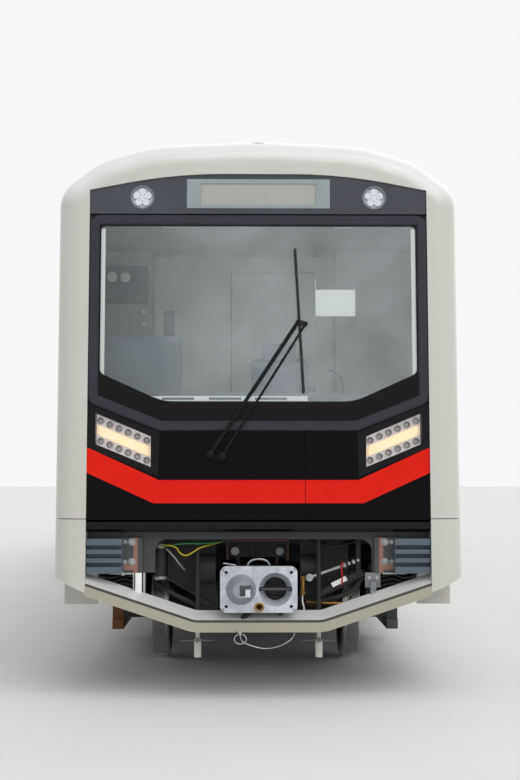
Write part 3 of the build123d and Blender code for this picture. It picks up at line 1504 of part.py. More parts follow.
# Bogies: frame, axleboxes, springs, motors with gearboxes, and current collectors
beam_top = 740.0
beam_low = 600.0
waist_top = 560.0
waist_low = 420.0
beam_end = 1330.0
beam_corner = 60.0
cone_radius = 70.0
cone_offset = 200.0
bellows_gap = 40.0
shoe_beam_low = 200.0
shoe_beam_high = 280.0
shoe_beam_out = 1150.0
shoe_out = 1240.0
half_base = wheelbase / 2
axle_height = wheel_radius
for end, centre in bogie_centres.items():
    axle_places = (centre - half_base, centre + half_base)
    with BuildPart() as bogie_frame:
        for sign in (-1, 1):
            points = [
                (centre - beam_end, up(beam_low)),
                (centre - beam_end, up(beam_top)),
                (centre - 880, up(beam_top)),
                (centre - 520, up(waist_top)),
                (centre + 520, up(waist_top)),
                (centre + 880, up(beam_top)),
                (centre + beam_end, up(beam_top)),
                (centre + beam_end, up(beam_low)),
                (centre + 760, up(beam_low)),
                (centre + 540, up(waist_low)),
                (centre - 540, up(waist_low)),
                (centre - 760, up(beam_low)),
            ]
            low, high = sorted((sign * beam_inner, sign * beam_outer))
            extrude(outline(Plane.YZ.offset(low), points, radius=beam_corner), amount=high - low)
        for offset_y in (-transom_y, transom_y):
            with BuildSketch(Plane.YZ.offset(-beam_inner - 10)):
                with Locations((centre + offset_y, up(transom_height))):
                    Circle(transom_radius)
            extrude(amount=2 * beam_inner + 20)
        beam_z = (up(transom_height - 70), up(transom_height + 70))
        block((-230, 230), (centre - transom_y, centre + transom_y), beam_z)
        with BuildSketch(Plane.XY.offset(up(transom_height - 90))):
            with Locations((0, centre)):
                Circle(pivot_radius + turn_gap)
        extrude(amount=180, mode=Mode.SUBTRACT)
        for y in axle_places:
            for sign in (-1, 1):
                low, high = sorted((sign * axlebox_inner, sign * axlebox_outer))
                with BuildSketch(Plane.YZ.offset(low)):
                    with Locations((y, up(axle_height))):
                        RectangleRounded(2 * axlebox_half, 2 * axlebox_half, 50)
                        with Locations((0, axlebox_half - 45)):
                            Rectangle(2 * cone_offset + 2 * cone_radius, 70)
                extrude(amount=high - low)
                with BuildSketch(Plane.YZ.offset(low)):
                    with Locations((y, up(axle_height))):
                        Circle(journal_radius + turn_gap)
                extrude(amount=high - low, mode=Mode.SUBTRACT)
    bogie_frame.part.label = f"bogie_frame_{end}"
    export_step(bogie_frame.part, f"parts/bogie_frame_{end}.step")

    with BuildPart() as springs:
        wing_top = axle_height + axlebox_half - 10
        for y in axle_places:
            for sign in (-1, 1):
                for offset_y in (-cone_offset, cone_offset):
                    with BuildSketch(Plane.XY.offset(up(wing_top + seat))):
                        with Locations((sign * (beam_inner + beam_outer) / 2, y + offset_y)):
                            Circle(cone_radius)
                    extrude(amount=beam_low - wing_top - 2 * seat)
        for sign in (-1, 1):
            x = sign * (beam_inner + beam_outer) / 2
            with BuildSketch(Plane.XY.offset(up(waist_top + seat))):
                with Locations((x, centre)):
                    Circle(air_spring_radius - 70)
            extrude(amount=frame_low - waist_top - 2 * seat)
            with BuildSketch(Plane.XY.offset(up(waist_top + 130))):
                with Locations((x, centre)):
                    Circle(air_spring_radius)
            extrude(amount=frame_low - waist_top - 130 - bellows_gap)
    springs.part.label = f"springs_{end}"
    export_step(springs.part, f"parts/springs_{end}.step")

    with BuildPart() as motors:
        for sign in (-1, 1):
            motor_place = centre + sign * motor_y
            axle_place = centre + sign * half_base
            with BuildSketch(Plane.YZ.offset(-sign * gearbox_inner if sign > 0 else gearbox_inner - 600)):
                with Locations((motor_place, up(axle_height + 20))):
                    Circle(motor_radius)
            extrude(amount=600)
            low, high = sorted((sign * gearbox_inner, sign * gearbox_outer))
            with BuildSketch(Plane.YZ.offset(low)):
                with Locations((motor_place, up(axle_height + 20)), (axle_place, up(axle_height))):
                    Circle(150)
                with Locations(((motor_place + axle_place) / 2, up(axle_height + 10))):
                    Rectangle(half_base - motor_y, 270)
                with Locations((axle_place, up(axle_height))):
                    Circle(axle_radius + turn_gap, mode=Mode.SUBTRACT)
            extrude(amount=high - low)
            near, far = sorted((centre + sign * (transom_y + transom_radius + seat), motor_place))
            block((-150, 150), (near, far), (up(axle_height - 30), up(axle_height + 80)))
    motors.part.label = f"motors_{end}"
    export_step(motors.part, f"parts/motors_{end}.step")

    with BuildPart() as collectors:
        for sign in (-1, 1):
            low, high = sorted((sign * (axlebox_outer + seat), sign * shoe_beam_out))
            beam_y = (centre - half_base - 90, centre + half_base + 90)
            block((low, high), beam_y, (up(shoe_beam_low), up(shoe_beam_high)))
            for y in axle_places:
                block((low, high), (y - 60, y + 60), (up(shoe_beam_low), up(axle_height + 60)))
            low, high = sorted((sign * shoe_beam_out, sign * shoe_out))
            block((low, high), (centre - 110, centre + 110), (up(160), up(190)))
            low, high = sorted((sign * (shoe_beam_out - 20), sign * (shoe_beam_out + 30)))
            block((low, high), (centre - 60, centre + 60), (up(160), up(shoe_beam_low + 10)))
    collectors.part.label = f"collectors_{end}"
    export_step(collectors.part, f"parts/collectors_{end}.step")

# Wheelsets: an axle with journals and two flanged wheels, turned about the axle's line
wheel_seat_radius = 95.0
hub_radius = 140.0
hub_half = 90.0
web_thin = 28.0
rim_depth = 62.0
tread_middle = back_to_back / 2 + rim_width / 2
axle_number = 0
for centre in bogie_centres.values():
    for y in (centre - half_base, centre + half_base):
        axle_number += 1
        with BuildPart() as wheelset:
            spin_plane = Plane(origin=(0, y, up(axle_height)), x_dir=(1, 0, 0), z_dir=(0, -1, 0))
            with BuildSketch(spin_plane):
                with BuildLine():
                    Polyline(
                        (0, 0),
                        (axle_half, 0),
                        (axle_half, journal_radius),
                        (axlebox_inner - 20, journal_radius),
                        (axlebox_inner - 30, wheel_seat_radius),
                        (back_to_back / 2 - 60, wheel_seat_radius),
                        (back_to_back / 2 - 90, axle_radius),
                        (0, axle_radius),
                        close=True,
                    )
                make_face()
                mirror(about=Plane.YZ)
            revolve(axis=Axis((0, y, up(axle_height)), (1, 0, 0)))
            with BuildSketch(spin_plane):
                with BuildLine():
                    inner = back_to_back / 2
                    Polyline(
                        (tread_middle - hub_half, wheel_seat_radius + turn_gap),
                        (tread_middle + hub_half, wheel_seat_radius + turn_gap),
                        (tread_middle + hub_half, hub_radius),
                        (tread_middle + web_thin, hub_radius + 20),
                        (tread_middle + web_thin / 2 + 10, wheel_radius - rim_depth - 20),
                        (inner + rim_width, wheel_radius - rim_depth),
                        (inner + rim_width, wheel_radius - 6),
                        (inner + rim_width - 8, wheel_radius),
                        (inner + flange_width + 8, wheel_radius),
                        (inner + flange_width - 4, wheel_radius + flange_height - 6),
                        (inner + flange_width - 12, wheel_radius + flange_height),
                        (inner + 8, wheel_radius + flange_height),
                        (inner, wheel_radius + flange_height - 8),
                        (inner, wheel_radius - rim_depth),
                        (tread_middle - web_thin / 2 - 10, wheel_radius - rim_depth - 20),
                        (tread_middle - web_thin, hub_radius + 20),
                        (tread_middle - hub_half, hub_radius),
                        close=True,
                    )
                make_face()
                mirror(about=Plane.YZ)
            revolve(axis=Axis((0, y, up(axle_height)), (1, 0, 0)))
        wheelset.part.label = f"wheelset_{axle_number}"
        export_step(wheelset.part, f"parts/wheelset_{axle_number}.step")
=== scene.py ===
import json
import math

import bpy
from mathutils import Matrix, Vector


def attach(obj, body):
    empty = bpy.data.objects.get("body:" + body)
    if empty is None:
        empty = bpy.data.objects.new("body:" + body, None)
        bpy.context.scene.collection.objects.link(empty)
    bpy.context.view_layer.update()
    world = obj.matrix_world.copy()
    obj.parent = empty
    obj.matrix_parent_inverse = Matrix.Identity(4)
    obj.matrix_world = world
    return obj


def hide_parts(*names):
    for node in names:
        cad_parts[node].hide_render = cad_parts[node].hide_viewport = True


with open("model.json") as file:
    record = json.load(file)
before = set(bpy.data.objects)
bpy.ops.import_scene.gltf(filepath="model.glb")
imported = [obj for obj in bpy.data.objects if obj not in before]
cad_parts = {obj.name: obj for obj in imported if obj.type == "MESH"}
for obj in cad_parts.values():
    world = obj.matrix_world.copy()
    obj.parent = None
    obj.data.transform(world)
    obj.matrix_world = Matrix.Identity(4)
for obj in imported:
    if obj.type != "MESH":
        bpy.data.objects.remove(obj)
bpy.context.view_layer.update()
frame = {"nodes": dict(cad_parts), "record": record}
nodes = frame["nodes"]
print("frame loaded:", len(nodes), "nodes")

# the car's own measures, in metres
car = {
    "railTop": 0.028,  # height of the rail's top over the wheel flanges
    "noseY": -9.6,  # foot of the mask
    "maskFoot": 1.08,  # its height over the rail
    "rake": math.radians(3.5),
    "axles": (-7.4, -5.2, 5.2, 7.4),
    "wheelRadius": 0.43,
}
maskNormal = Vector((0, -math.cos(car["rake"]), math.sin(car["rake"])))
maskUp = Vector((0, math.sin(car["rake"]), math.cos(car["rake"])))


def up(height):
    return car["railTop"] + height


def onMask(x, v, out=0.0):
    # a point on the mask: x across, v up its slope, out in front of its face
    foot = Vector((x, car["noseY"], up(car["maskFoot"])))
    return foot + maskUp * v + maskNormal * out


# shader helpers
def rgb(red, green, blue):
    # a colour as seen on screen, 0 to 255, as the shader takes it
    scene = []
    for part in (red, green, blue):
        part /= 255
        scene.append(part / 12.92 if part <= 0.04045 else ((part + 0.055) / 1.055) ** 2.4)
    return (*scene, 1.0)


def calc(operation, *terms):
    # one Math node over values and numbers
    tree = next(term.tree for term in terms if isinstance(term, Val))
    node = tree.nodes.new("ShaderNodeMath")
    node.operation = operation
    for socket, term in zip(node.inputs, terms):
        if isinstance(term, Val):
            tree.links.new(term.socket, socket)
        else:
            socket.default_value = term
    return Val(tree, node.outputs[0])


class Val:
    # a socket that takes part in plain arithmetic
    def __init__(self, tree, socket):
        self.tree = tree
        self.socket = socket

    def __add__(self, other):
        return calc("ADD", self, other)

    def __sub__(self, other):
        return calc("SUBTRACT", self, other)

    def __rsub__(self, other):
        return calc("SUBTRACT", other, self)

    def __mul__(self, other):
        return calc("MULTIPLY", self, other)

    def __truediv__(self, other):
        return calc("DIVIDE", self, other)

    def __gt__(self, other):
        return calc("GREATER_THAN", self, other)

    def __lt__(self, other):
        return calc("LESS_THAN", self, other)

    def __abs__(self):
        return calc("ABSOLUTE", self)

    def between(self, low, high):
        return (self > low) * (self < high)

    __radd__ = __add__
    __rmul__ = __mul__


def away(across, along):
    # distance from a middle, by its two parts
    return calc("SQRT", across * across + along * along)


class Finish:
    # a material and the nodes that make it
    def __init__(self, name, colour=None, **sockets):
        self.material = bpy.data.materials.new(name)
        self.material.use_nodes = True
        self.tree = self.material.node_tree
        self.skin = self.tree.nodes["Principled BSDF"]
        if colour:
            self.set(Base_Color=colour)
        self.set(**sockets)

    def make(self, kind, settings=None, inputs=None, output=0):
        # any node: its settings first, then the values or links of its sockets
        node = self.tree.nodes.new(kind)
        for key, value in (settings or {}).items():
            if key == "stops":
                while len(node.color_ramp.elements) < len(value):
                    node.color_ramp.elements.new(0.5)
                for element, (position, colour) in zip(node.color_ramp.elements, value):
                    element.position = position
                    element.color = colour
            else:
                setattr(node, key, value)
        for key, value in (inputs or {}).items():
            self.feed(node.inputs[key], value)
        return Val(self.tree, node.outputs[output])

    def feed(self, socket, value):
        if isinstance(value, Val):
            self.tree.links.new(value.socket, socket)
        else:
            socket.default_value = value

    def set(self, **sockets):
        for key, value in sockets.items():
            self.feed(self.skin.inputs[key.replace("_", " ")], value)

    def over(self, share, colour):
        # another colour over the one so far
        base = Val(self.tree, self.skin.inputs["Base Color"].links[0].from_socket)
        self.set(Base_Color=self.mix(share, base, colour))

    def place(self):
        return self.make("ShaderNodeTexCoord", output="Object")

    def axes(self):
        spot = self.place()
        return [self.make("ShaderNodeSeparateXYZ", inputs={0: spot}, output=axis) for axis in "XYZ"]

    def noise(self, scale, detail=3.0, rough=0.6, stretch=(1, 1, 1)):
        spot = self.make("ShaderNodeMapping", inputs={"Vector": self.place(), "Scale": stretch})
        inputs = {"Vector": spot, "Scale": scale, "Detail": detail, "Roughness": rough}
        return self.make("ShaderNodeTexNoise", inputs=inputs)

    def spread(self, value, low, high, outLow=0.0, outHigh=1.0):
        # value between low and high, as a share between the two results
        inputs = {"Value": value, "From Min": low, "From Max": high, "To Min": outLow, "To Max": outHigh}
        return self.make("ShaderNodeMapRange", inputs=inputs)

    def mix(self, share, first, second, kind="MIX"):
        settings = {"data_type": "RGBA", "blend_type": kind}
        return self.make("ShaderNodeMix", settings, {0: share, 6: first, 7: second}, output=2)

    def bump(self, height, depth, strength=1.0):
        inputs = {"Height": height, "Distance": depth, "Strength": strength}
        self.set(Normal=self.make("ShaderNodeBump", inputs=inputs))

    def facing(self, axis):
        # how far the surface looks along an axis
        normal = self.make("ShaderNodeNewGeometry", output="Normal")
        return self.make("ShaderNodeSeparateXYZ", inputs={0: normal}, output=axis)

    def maskSpot(self):
        # distance from the middle and height up the mask's slope
        x, y, z = self.axes()
        v = (y - car["noseY"]) * math.sin(car["rake"]) + (z - up(car["maskFoot"])) * math.cos(car["rake"])
        return x, v


def tone(colour, share):
    return (*(part * share for part in colour[:3]), 1.0)


# paints
def paint(name, colour, look, lowDirt=0.0):
    # sprayed and cured: faint orange peel, cloudy dust, and grime that thickens low down
    finish = Finish(name)
    z = finish.axes()[2]
    cloud = finish.noise(look["cloud"], 5, 0.62)
    speck = finish.noise(look["cloud"] * 14, 3, 0.7)
    share = finish.spread(cloud, 0.42, 0.75, 0.0, look["soiled"])
    if lowDirt:
        grime = finish.spread(speck, 0.35, 0.7, 0.25, 1.0)
        share = share + finish.spread(z, up(0.5), up(1.5), lowDirt, 0.0) * grime
    finish.set(Base_Color=finish.mix(share, colour, look["dust"]))
    finish.set(Roughness=finish.spread(cloud + speck * 0.35, 0.4, 1.0, look["rough"], look["rough"] + 0.16))
    finish.skin.inputs["Coat Weight"].default_value = look["coat"]
    finish.skin.inputs["Coat Roughness"].default_value = 0.12
    finish.bump(finish.noise(look["peel"], 2, 0.5), 0.0004, 0.25)
    return finish


bodyLook = {"cloud": 0.9, "dust": rgb(150, 144, 132), "soiled": 0.14, "rough": 0.26, "peel": 55, "coat": 0.35}
steelLook = {"cloud": 3.5, "dust": rgb(96, 88, 78), "soiled": 0.35, "rough": 0.5, "peel": 90, "coat": 0.0}
machineLook = {"cloud": 5, "dust": rgb(70, 60, 52), "soiled": 0.45, "rough": 0.62, "peel": 130, "coat": 0.0}
cleanLook = dict(steelLook, cloud=1.6, dust=rgb(150, 150, 146), soiled=0.12, rough=0.42, peel=120)


def bodyPaint():
    # pale paint outside, lightened on upward faces as painted sky light, and a paler lining where the surface
    # lies within the walls
    finish = paint("bodyPaint", rgb(200, 198, 190), bodyLook, lowDirt=0.22)
    x, y, z = finish.axes()
    room = {"half": 1.318, "ends": (-8.6, 9.28), "heights": (1.0, 3.22)}
    inner = (abs(x) < room["half"]) * y.between(*room["ends"])
    inner = inner * z.between(*map(up, room["heights"]))
    aerial = {"y": -9.33, "half": (0.045, 0.028), "low": 3.7}  # dark foot let into the roof
    out = away(x / aerial["half"][0], (y - aerial["y"]) / aerial["half"][1])
    recess = (out < 1.0) * (z > up(aerial["low"]))
    # painted sky light: faces that look upwards are lighter
    finish.over(finish.spread(finish.facing("Z"), 0.05, 0.55), rgb(226, 227, 227))
    finish.over(inner, finish.mix(finish.noise(6, 3), rgb(196, 198, 196), rgb(210, 211, 208)))
    finish.over(recess, rgb(34, 35, 38))
    return finish


def blackGloss():
    # black glossy panels, the red band across the lower ones, and a grey painted sky reflection over the
    # upper one
    band = {"half": 0.663, "top": 0.338, "halfLow": 0.698, "low": 0.184, "rise": 0.455, "edge": 0.0015}
    panelFoot = 2.145  # the upper panel starts here, up the mask's slope
    finish = Finish("blackGloss", Specular_IOR_Level=0.09)
    x, v = finish.maskSpot()
    out = abs(x)
    topEdge = calc("MAXIMUM", out - band["half"], 0.0) * band["rise"] + band["top"]
    lowEdge = calc("MAXIMUM", out - band["halfLow"], 0.0) * band["rise"] + band["low"]
    below = finish.spread(topEdge - v, -band["edge"], band["edge"])
    above = finish.spread(v - lowEdge, -band["edge"], band["edge"])
    inBand = below * above
    # painted reflection: the upper panel is coloured grey and made rougher to stand for the mirrored sky
    paintedSkyArea = v > panelFoot
    cloud = finish.noise(2.2, 5, 0.65)
    black = finish.mix(cloud, rgb(2, 2, 3), rgb(7, 7, 9))
    red = finish.mix(cloud, rgb(216, 26, 16), rgb(230, 38, 24))
    grey = finish.mix(cloud, rgb(69, 71, 77), rgb(85, 87, 94))
    finish.set(Base_Color=finish.mix(paintedSkyArea, finish.mix(inBand, black, red), grey))
    wipe = finish.noise(3.5, 4, 0.7, stretch=(1, 1, 0.35))
    finish.set(Roughness=finish.spread(wipe, 0.35, 0.75, 0.07, 0.2) + inBand * 0.16 + paintedSkyArea * 0.2)
    finish.bump(finish.noise(38, 2), 0.0003, 0.12)
    return finish


def displayFrame():
    # pale grey frame behind the upper panel, in two tones that vary at random
    finish = Finish("displayFrame", Specular_IOR_Level=0.3)
    cloud = finish.noise(11, 4, 0.6)
    finish.set(Base_Color=finish.mix(cloud, rgb(140, 149, 152), rgb(158, 166, 169)))
    finish.set(Roughness=finish.spread(cloud, 0.3, 0.7, 0.16, 0.3))
    finish.bump(finish.noise(240, 2), 0.0002, 0.2)
    return finish


def mouldings():
    # the rib's grained plastic, and the glossy lip under the mask
    finish = Finish("mouldings", Specular_IOR_Level=0.2)
    x, v = finish.maskSpot()
    lip = v < 0.09
    grain = finish.noise(420, 2, 0.5)
    cloud = finish.noise(4, 4, 0.6)
    ribColour = finish.mix(cloud, rgb(42, 43, 50), rgb(56, 57, 65))
    lipColour = finish.mix(cloud, rgb(3, 4, 8), rgb(7, 8, 14))
    finish.set(Base_Color=finish.mix(lip, ribColour, lipColour))
    worn = finish.spread(cloud, 0.3, 0.7, 0.42, 0.58)
    finish.set(Roughness=worn - lip * 0.34)
    finish.bump(grain * (1 - lip), 0.0003, 0.3)
    return finish


def glass(name, look):
    # a pane: clear with a tint, glossy by angle, and a printed border where border() says so
    finish = Finish(name, look["print"], Roughness=0.22, Specular_IOR_Level=0.16)
    tree = finish.tree
    clear = tree.nodes.new("ShaderNodeBsdfTransparent")
    clear.inputs["Color"].default_value = look["tint"]
    gloss = tree.nodes.new("ShaderNodeBsdfGlossy")
    gloss.inputs["Color"].default_value = look["sheen"]
    gloss.inputs["Roughness"].default_value = 0.02
    fresnel = finish.make("ShaderNodeFresnel", inputs={"IOR": 1.5})
    smear = finish.noise(1.7, 4, 0.65)
    share = fresnel * look["reflect"] + finish.spread(smear, 0.4, 0.8, look["film"], look["film"] * 1.8)
    if look.get("border"):  # a cloudy sky mirrored more towards the middle and the right
        x = finish.axes()[0]
        share = share + finish.spread(x, -0.95, -0.1, 0.0, 0.085) * finish.spread(smear, 0.35, 0.7, 0.5, 1.5)
    pane = tree.nodes.new("ShaderNodeMixShader")
    finish.feed(pane.inputs[0], share)
    tree.links.new(clear.outputs[0], pane.inputs[1])
    tree.links.new(gloss.outputs[0], pane.inputs[2])
    shown = pane.outputs[0]
    if look.get("border"):
        whole = tree.nodes.new("ShaderNodeMixShader")
        finish.feed(whole.inputs[0], look["border"](finish))
        tree.links.new(shown, whole.inputs[1])
        tree.links.new(finish.skin.outputs[0], whole.inputs[2])
        shown = whole.outputs[0]
    tree.links.new(shown, tree.nodes["Material Output"].inputs["Surface"])
    return finish


def windscreenBorder(finish):
    # black print round the pane, with rounded corners
    clear = {"half": 1.067, "top": 2.060, "low": 0.862, "kinkX": 0.642, "round": 0.05}
    across, rise = 0.412, 0.911  # the way that the slanted lower edges look
    x, v = finish.maskSpot()
    out = abs(x)
    corner = (v - clear["low"]) * rise - (out - clear["kinkX"]) * across
    inside = calc("SMOOTH_MIN", clear["half"] - out, clear["top"] - v, clear["round"])
    inside = calc("SMOOTH_MIN", inside, v - clear["low"], clear["round"])
    inside = calc("SMOOTH_MIN", inside, corner, clear["round"])
    return finish.spread(inside, 0.0, 0.003, 1.0, 0.0)


screenLook = {
    "tint": (0.955, 0.975, 0.968, 1),
    "sheen": (0.86, 0.9, 0.93, 1),
    "reflect": 1.15,
    "film": 0.02,
    "print": rgb(10, 10, 12),
    "border": windscreenBorder,
}
sideLook = dict(screenLook, tint=(0.30, 0.34, 0.34, 1), border=None)
lensLook = dict(screenLook, tint=(0.96, 0.96, 0.97, 1), reflect=0.6, film=0.004, border=None)


# metals, plastics and the rest
def metal(name, colour, look):
    # bare metal, cast or polished, with duller patches
    finish = Finish(name, Metallic=look.get("metal", 1.0))
    patch = finish.noise(look["patch"], 5, 0.65)
    fine = finish.noise(look["grain"], 3, 0.6)
    worn = finish.spread(patch, 0.4, 0.72)
    finish.set(Base_Color=finish.mix(worn, colour, look["dull"]))
    finish.set(Roughness=finish.spread(patch + fine * 0.4, 0.4, 1.0, look["rough"], look["rough"] + 0.25))
    finish.bump(fine + patch * 0.5, look["depth"], 0.4)
    return finish


dullGrey = rgb(128, 131, 134)
castLook = {"patch": 9, "grain": 160, "dull": dullGrey, "rough": 0.42, "depth": 0.0006, "metal": 0.55}
chromeLook = {"patch": 20, "grain": 300, "dull": rgb(150, 150, 152), "rough": 0.12, "depth": 0.0001}


def rubber(name, colour, rough=0.7):
    finish = Finish(name, Specular_IOR_Level=0.35)
    cloud = finish.noise(12, 4, 0.65)
    fine = finish.noise(260, 2)
    finish.set(Base_Color=finish.mix(finish.spread(cloud, 0.4, 0.8), colour, rgb(66, 62, 58)))
    finish.set(Roughness=finish.spread(cloud, 0.3, 0.7, rough - 0.1, rough + 0.12))
    finish.bump(fine, 0.0003, 0.35)
    return finish


def plastic(name, colour, rough=0.45, grain=300, specular=0.45):
    # moulded plastic with an even leather grain
    finish = Finish(name, Specular_IOR_Level=specular)
    cloud = finish.noise(3, 4, 0.6)
    cells = finish.make("ShaderNodeTexVoronoi", inputs={"Vector": finish.place(), "Scale": grain})
    finish.set(Base_Color=finish.mix(finish.spread(cloud, 0.3, 0.8), colour, tone(colour, 0.86)))
    finish.set(Roughness=finish.spread(cloud, 0.3, 0.7, rough - 0.06, rough + 0.1))
    finish.bump(cells, 0.0003, 0.25)
    return finish


def glow(name, colour, strength):
    finish = Finish(name, colour, Roughness=0.3)
    ripple = finish.noise(90, 2, 0.5)
    finish.set(Emission_Color=finish.mix(ripple, colour, tone(colour, 0.72)))
    finish.skin.inputs["Emission Strength"].default_value = strength
    return finish


print("shader helpers ready")


def apronPaint():
    # sand-coloured paint; upward faces lightened as painted sky light into a pale band on top, and a painted
    # shade line in the groove above the fascia
    finish = paint("apronPaint", rgb(168, 163, 147), dict(bodyLook, cloud=2.4, soiled=0.2, rough=0.34))
    # painted sky light: faces that look upwards are paler
    finish.over(finish.spread(finish.facing("Z"), 0.2, 0.6), rgb(206, 207, 204))
    y = finish.axes()[1]
    grooveShade = (-9.622, -9.606)  # between the band and the fascia
    # painted shade: the forward-facing strip of the groove between the band and the fascia is darkened
    finish.over(y.between(*grooveShade) * (finish.facing("Y") < -0.5), rgb(72, 68, 58))
    return finish


def anticlimberPaint():
    # blue-grey coat; the plates are dark with bare primer along their inner and lower edges
    plate = {"outer": 0.903, "copper": (0.806, 0.834), "low": (0.818, 0.858)}
    finish = paint("anticlimberPaint", rgb(84, 95, 107), dict(steelLook, soiled=0.2))
    x, y, z = finish.axes()
    out = abs(x)
    ragged = finish.noise(60, 4) * 0.006 - 0.003
    side = (out + ragged).between(*plate["copper"])
    foot = (z + ragged).between(*map(up, plate["low"])) * (out > plate["copper"][0])
    dark = finish.mix(finish.noise(7, 4), rgb(58, 60, 62), rgb(76, 78, 80))
    plain = finish.mix(calc("MAXIMUM", side, foot), dark, rgb(146, 108, 92))
    finish.over(out < plate["outer"], plain)
    return finish


def frontGear():
    # black fittings; the two rods under the apron are white
    rods = {"x": 0.408, "half": 0.026, "top": 0.42, "back": -9.36}
    finish = paint("frontGear", rgb(30, 31, 34), machineLook)
    x, y, z = finish.axes()
    white = (abs(abs(x) - rods["x"]) < rods["half"]) * (z < up(rods["top"])) * (y < rods["back"])
    finish.over(white, rgb(206, 204, 196))
    return finish


def draftSteel():
    # dark machinery; the arch over the coupler keeps a coppery edge
    arch = {"half": 0.218, "band": 0.006, "top": 0.988, "front": -8.93}
    finish = paint("draftSteel", rgb(48, 49, 52), machineLook)
    x, y, z = finish.axes()
    edge = calc("MAXIMUM", abs(x) > arch["half"] - arch["band"], z > up(arch["top"] - arch["band"]))
    rim = edge * (abs(x) < arch["half"] + 0.002) * (y < arch["front"]) * (z < up(arch["top"] + 0.002))
    finish.over(rim, rgb(150, 96, 70))
    return finish


def couplerCast():
    # pale cast head; bright hook in the lock, brown grease in the air socket, and painted shade deep in the
    # funnel
    middle = 0.70  # height of the coupler's axis
    hook = {"x": (-0.090, -0.054), "heights": (0.655, 0.707), "front": -9.66}
    socket = {"x": 0.003, "height": 0.587, "bore": 0.020}
    cone = {"x": -0.117, "height": middle, "bore": 0.100}
    link = {"x": (-0.05, 0.225), "half": 0.014, "y": (-9.65, -9.575)}
    pocketShade = {"x": 0.225, "half": 0.11, "y": (-9.575, -9.42)}
    finish = metal("couplerMetal", rgb(204, 209, 216), dict(castLook, dull=rgb(166, 170, 176)))
    x, y, z = finish.axes()

    def onDisc(disc):
        return (away(x - disc["x"], z - up(disc["height"])) < disc["bore"]) * (y < -9.6)

    rise = abs(z - up(middle))
    inHook = x.between(*hook["x"]) * z.between(*map(up, hook["heights"])) * (y < hook["front"])
    inLink = x.between(*link["x"]) * (rise < link["half"]) * y.between(*link["y"])
    funnelShade = y.between(*pocketShade["y"]) * (abs(x) < pocketShade["x"]) * (rise < pocketShade["half"])
    finish.over(onDisc(cone), rgb(150, 155, 161))
    finish.over(inLink, rgb(70, 72, 76))
    # painted shade: the funnel's deep pocket is darkened
    finish.over(funnelShade, rgb(40, 40, 42))
    finish.over(onDisc(socket), rgb(104, 74, 52))
    finish.over(inHook, rgb(214, 216, 220))
    return finish


def lampHousing():
    # black bezel; the pocket's floor behind the lens is pale and glows faintly as painted light, and the bar
    # between the rows glows as the lamp
    lens = {"x": (0.722, 1.086), "corner": 1.089, "v": (0.577, 0.786), "slope": 0.421, "floor": -0.05}
    finish = Finish("lampHousing", Specular_IOR_Level=0.12)
    x, v = finish.maskSpot()
    y, z = finish.axes()[1:]
    out = (y - car["noseY"]) * -math.cos(car["rake"]) + (z - up(car["maskFoot"])) * math.sin(car["rake"])
    low, top = lens["v"]
    level = v + (lens["corner"] - abs(x)) * lens["slope"]
    within = abs(x).between(*lens["x"]) * level.between(low, top)
    cloud = finish.noise(24, 3)
    pale = finish.mix(cloud, rgb(206, 199, 199), rgb(190, 184, 186))
    dark = finish.mix(cloud, rgb(17, 17, 19), rgb(27, 27, 29))
    behind = within * (out < lens["floor"])
    finish.set(Base_Color=finish.mix(behind, dark, pale))
    finish.set(Roughness=finish.spread(cloud, 0.3, 0.7, 0.3, 0.42))
    finish.bump(finish.noise(220, 2), 0.0002, 0.2)
    share = (level - low) / (top - low)
    lit = behind * (abs(share - 0.51) < 0.165)
    # the pale floor's glow is painted light; only the bar is the lamp
    floorAndBarGlow = finish.mix(lit, rgb(196, 187, 185), rgb(255, 226, 180))
    finish.set(Emission_Color=finish.mix(behind, rgb(0, 0, 0), floorAndBarGlow))
    finish.skin.inputs["Emission Strength"].default_value = 0.6
    return finish


def lampRows():
    # a glowing bar between two rows of cups; painted shade rings the cups where their walls turn from the
    # front, and the cups glow faintly as painted light
    lens = {"x": 1.089, "top": 0.788, "low": 0.578, "slope": 0.421, "bar": (0.33, 0.69)}
    finish = Finish("lampRows", Roughness=0.25, Specular_IOR_Level=0.4)
    x, v = finish.maskSpot()
    drop = (lens["x"] - abs(x)) * lens["slope"]
    share = (v - lens["low"] + drop) / (lens["top"] - lens["low"])
    bar = share.between(*lens["bar"])
    ripple = finish.noise(60, 3, 0.6)
    warm = finish.mix(ripple, rgb(255, 238, 202), rgb(250, 216, 160))
    # painted shade: cup walls turned away from the front are darker
    facing = finish.spread(finish.facing("Y"), -0.99, -0.6)
    cupWithPaintedShade = finish.mix(facing, rgb(212, 208, 203), rgb(118, 114, 108))
    finish.set(Base_Color=finish.mix(bar, cupWithPaintedShade, warm))
    # the cups' faint glow is painted light; the bar is the lamp
    finish.set(Emission_Color=finish.mix(bar, rgb(30, 28, 25), warm))
    finish.skin.inputs["Emission Strength"].default_value = 0.62
    return finish


def wheelSteel(number):
    # polished tread and flange; brown grime on the web and axle, kept very dark as painted shade
    finish = Finish(f"wheelSteel{number}")
    x, y, z = finish.axes()
    rim = {"inner": 0.418, "back": 0.66}
    out = away(y - car["axles"][number - 1], z - up(car["wheelRadius"]))
    tread = (out > rim["inner"]) * (abs(x) > rim["back"])
    patch = finish.noise(9, 5, 0.65)
    # brown grime, darkened further as painted shade
    webGrimeAndShade = finish.mix(finish.spread(patch, 0.35, 0.7), rgb(34, 30, 28), rgb(72, 60, 50))
    finish.set(Base_Color=finish.mix(tread, webGrimeAndShade, rgb(176, 176, 178)))
    finish.set(Metallic=tread * 0.95)
    finish.set(Roughness=finish.spread(tread, 0.0, 1.0, 0.7, 0.22) + patch * 0.1)
    finish.bump(finish.noise(140, 3) * (1 - tread), 0.0008, 0.5)
    return finish


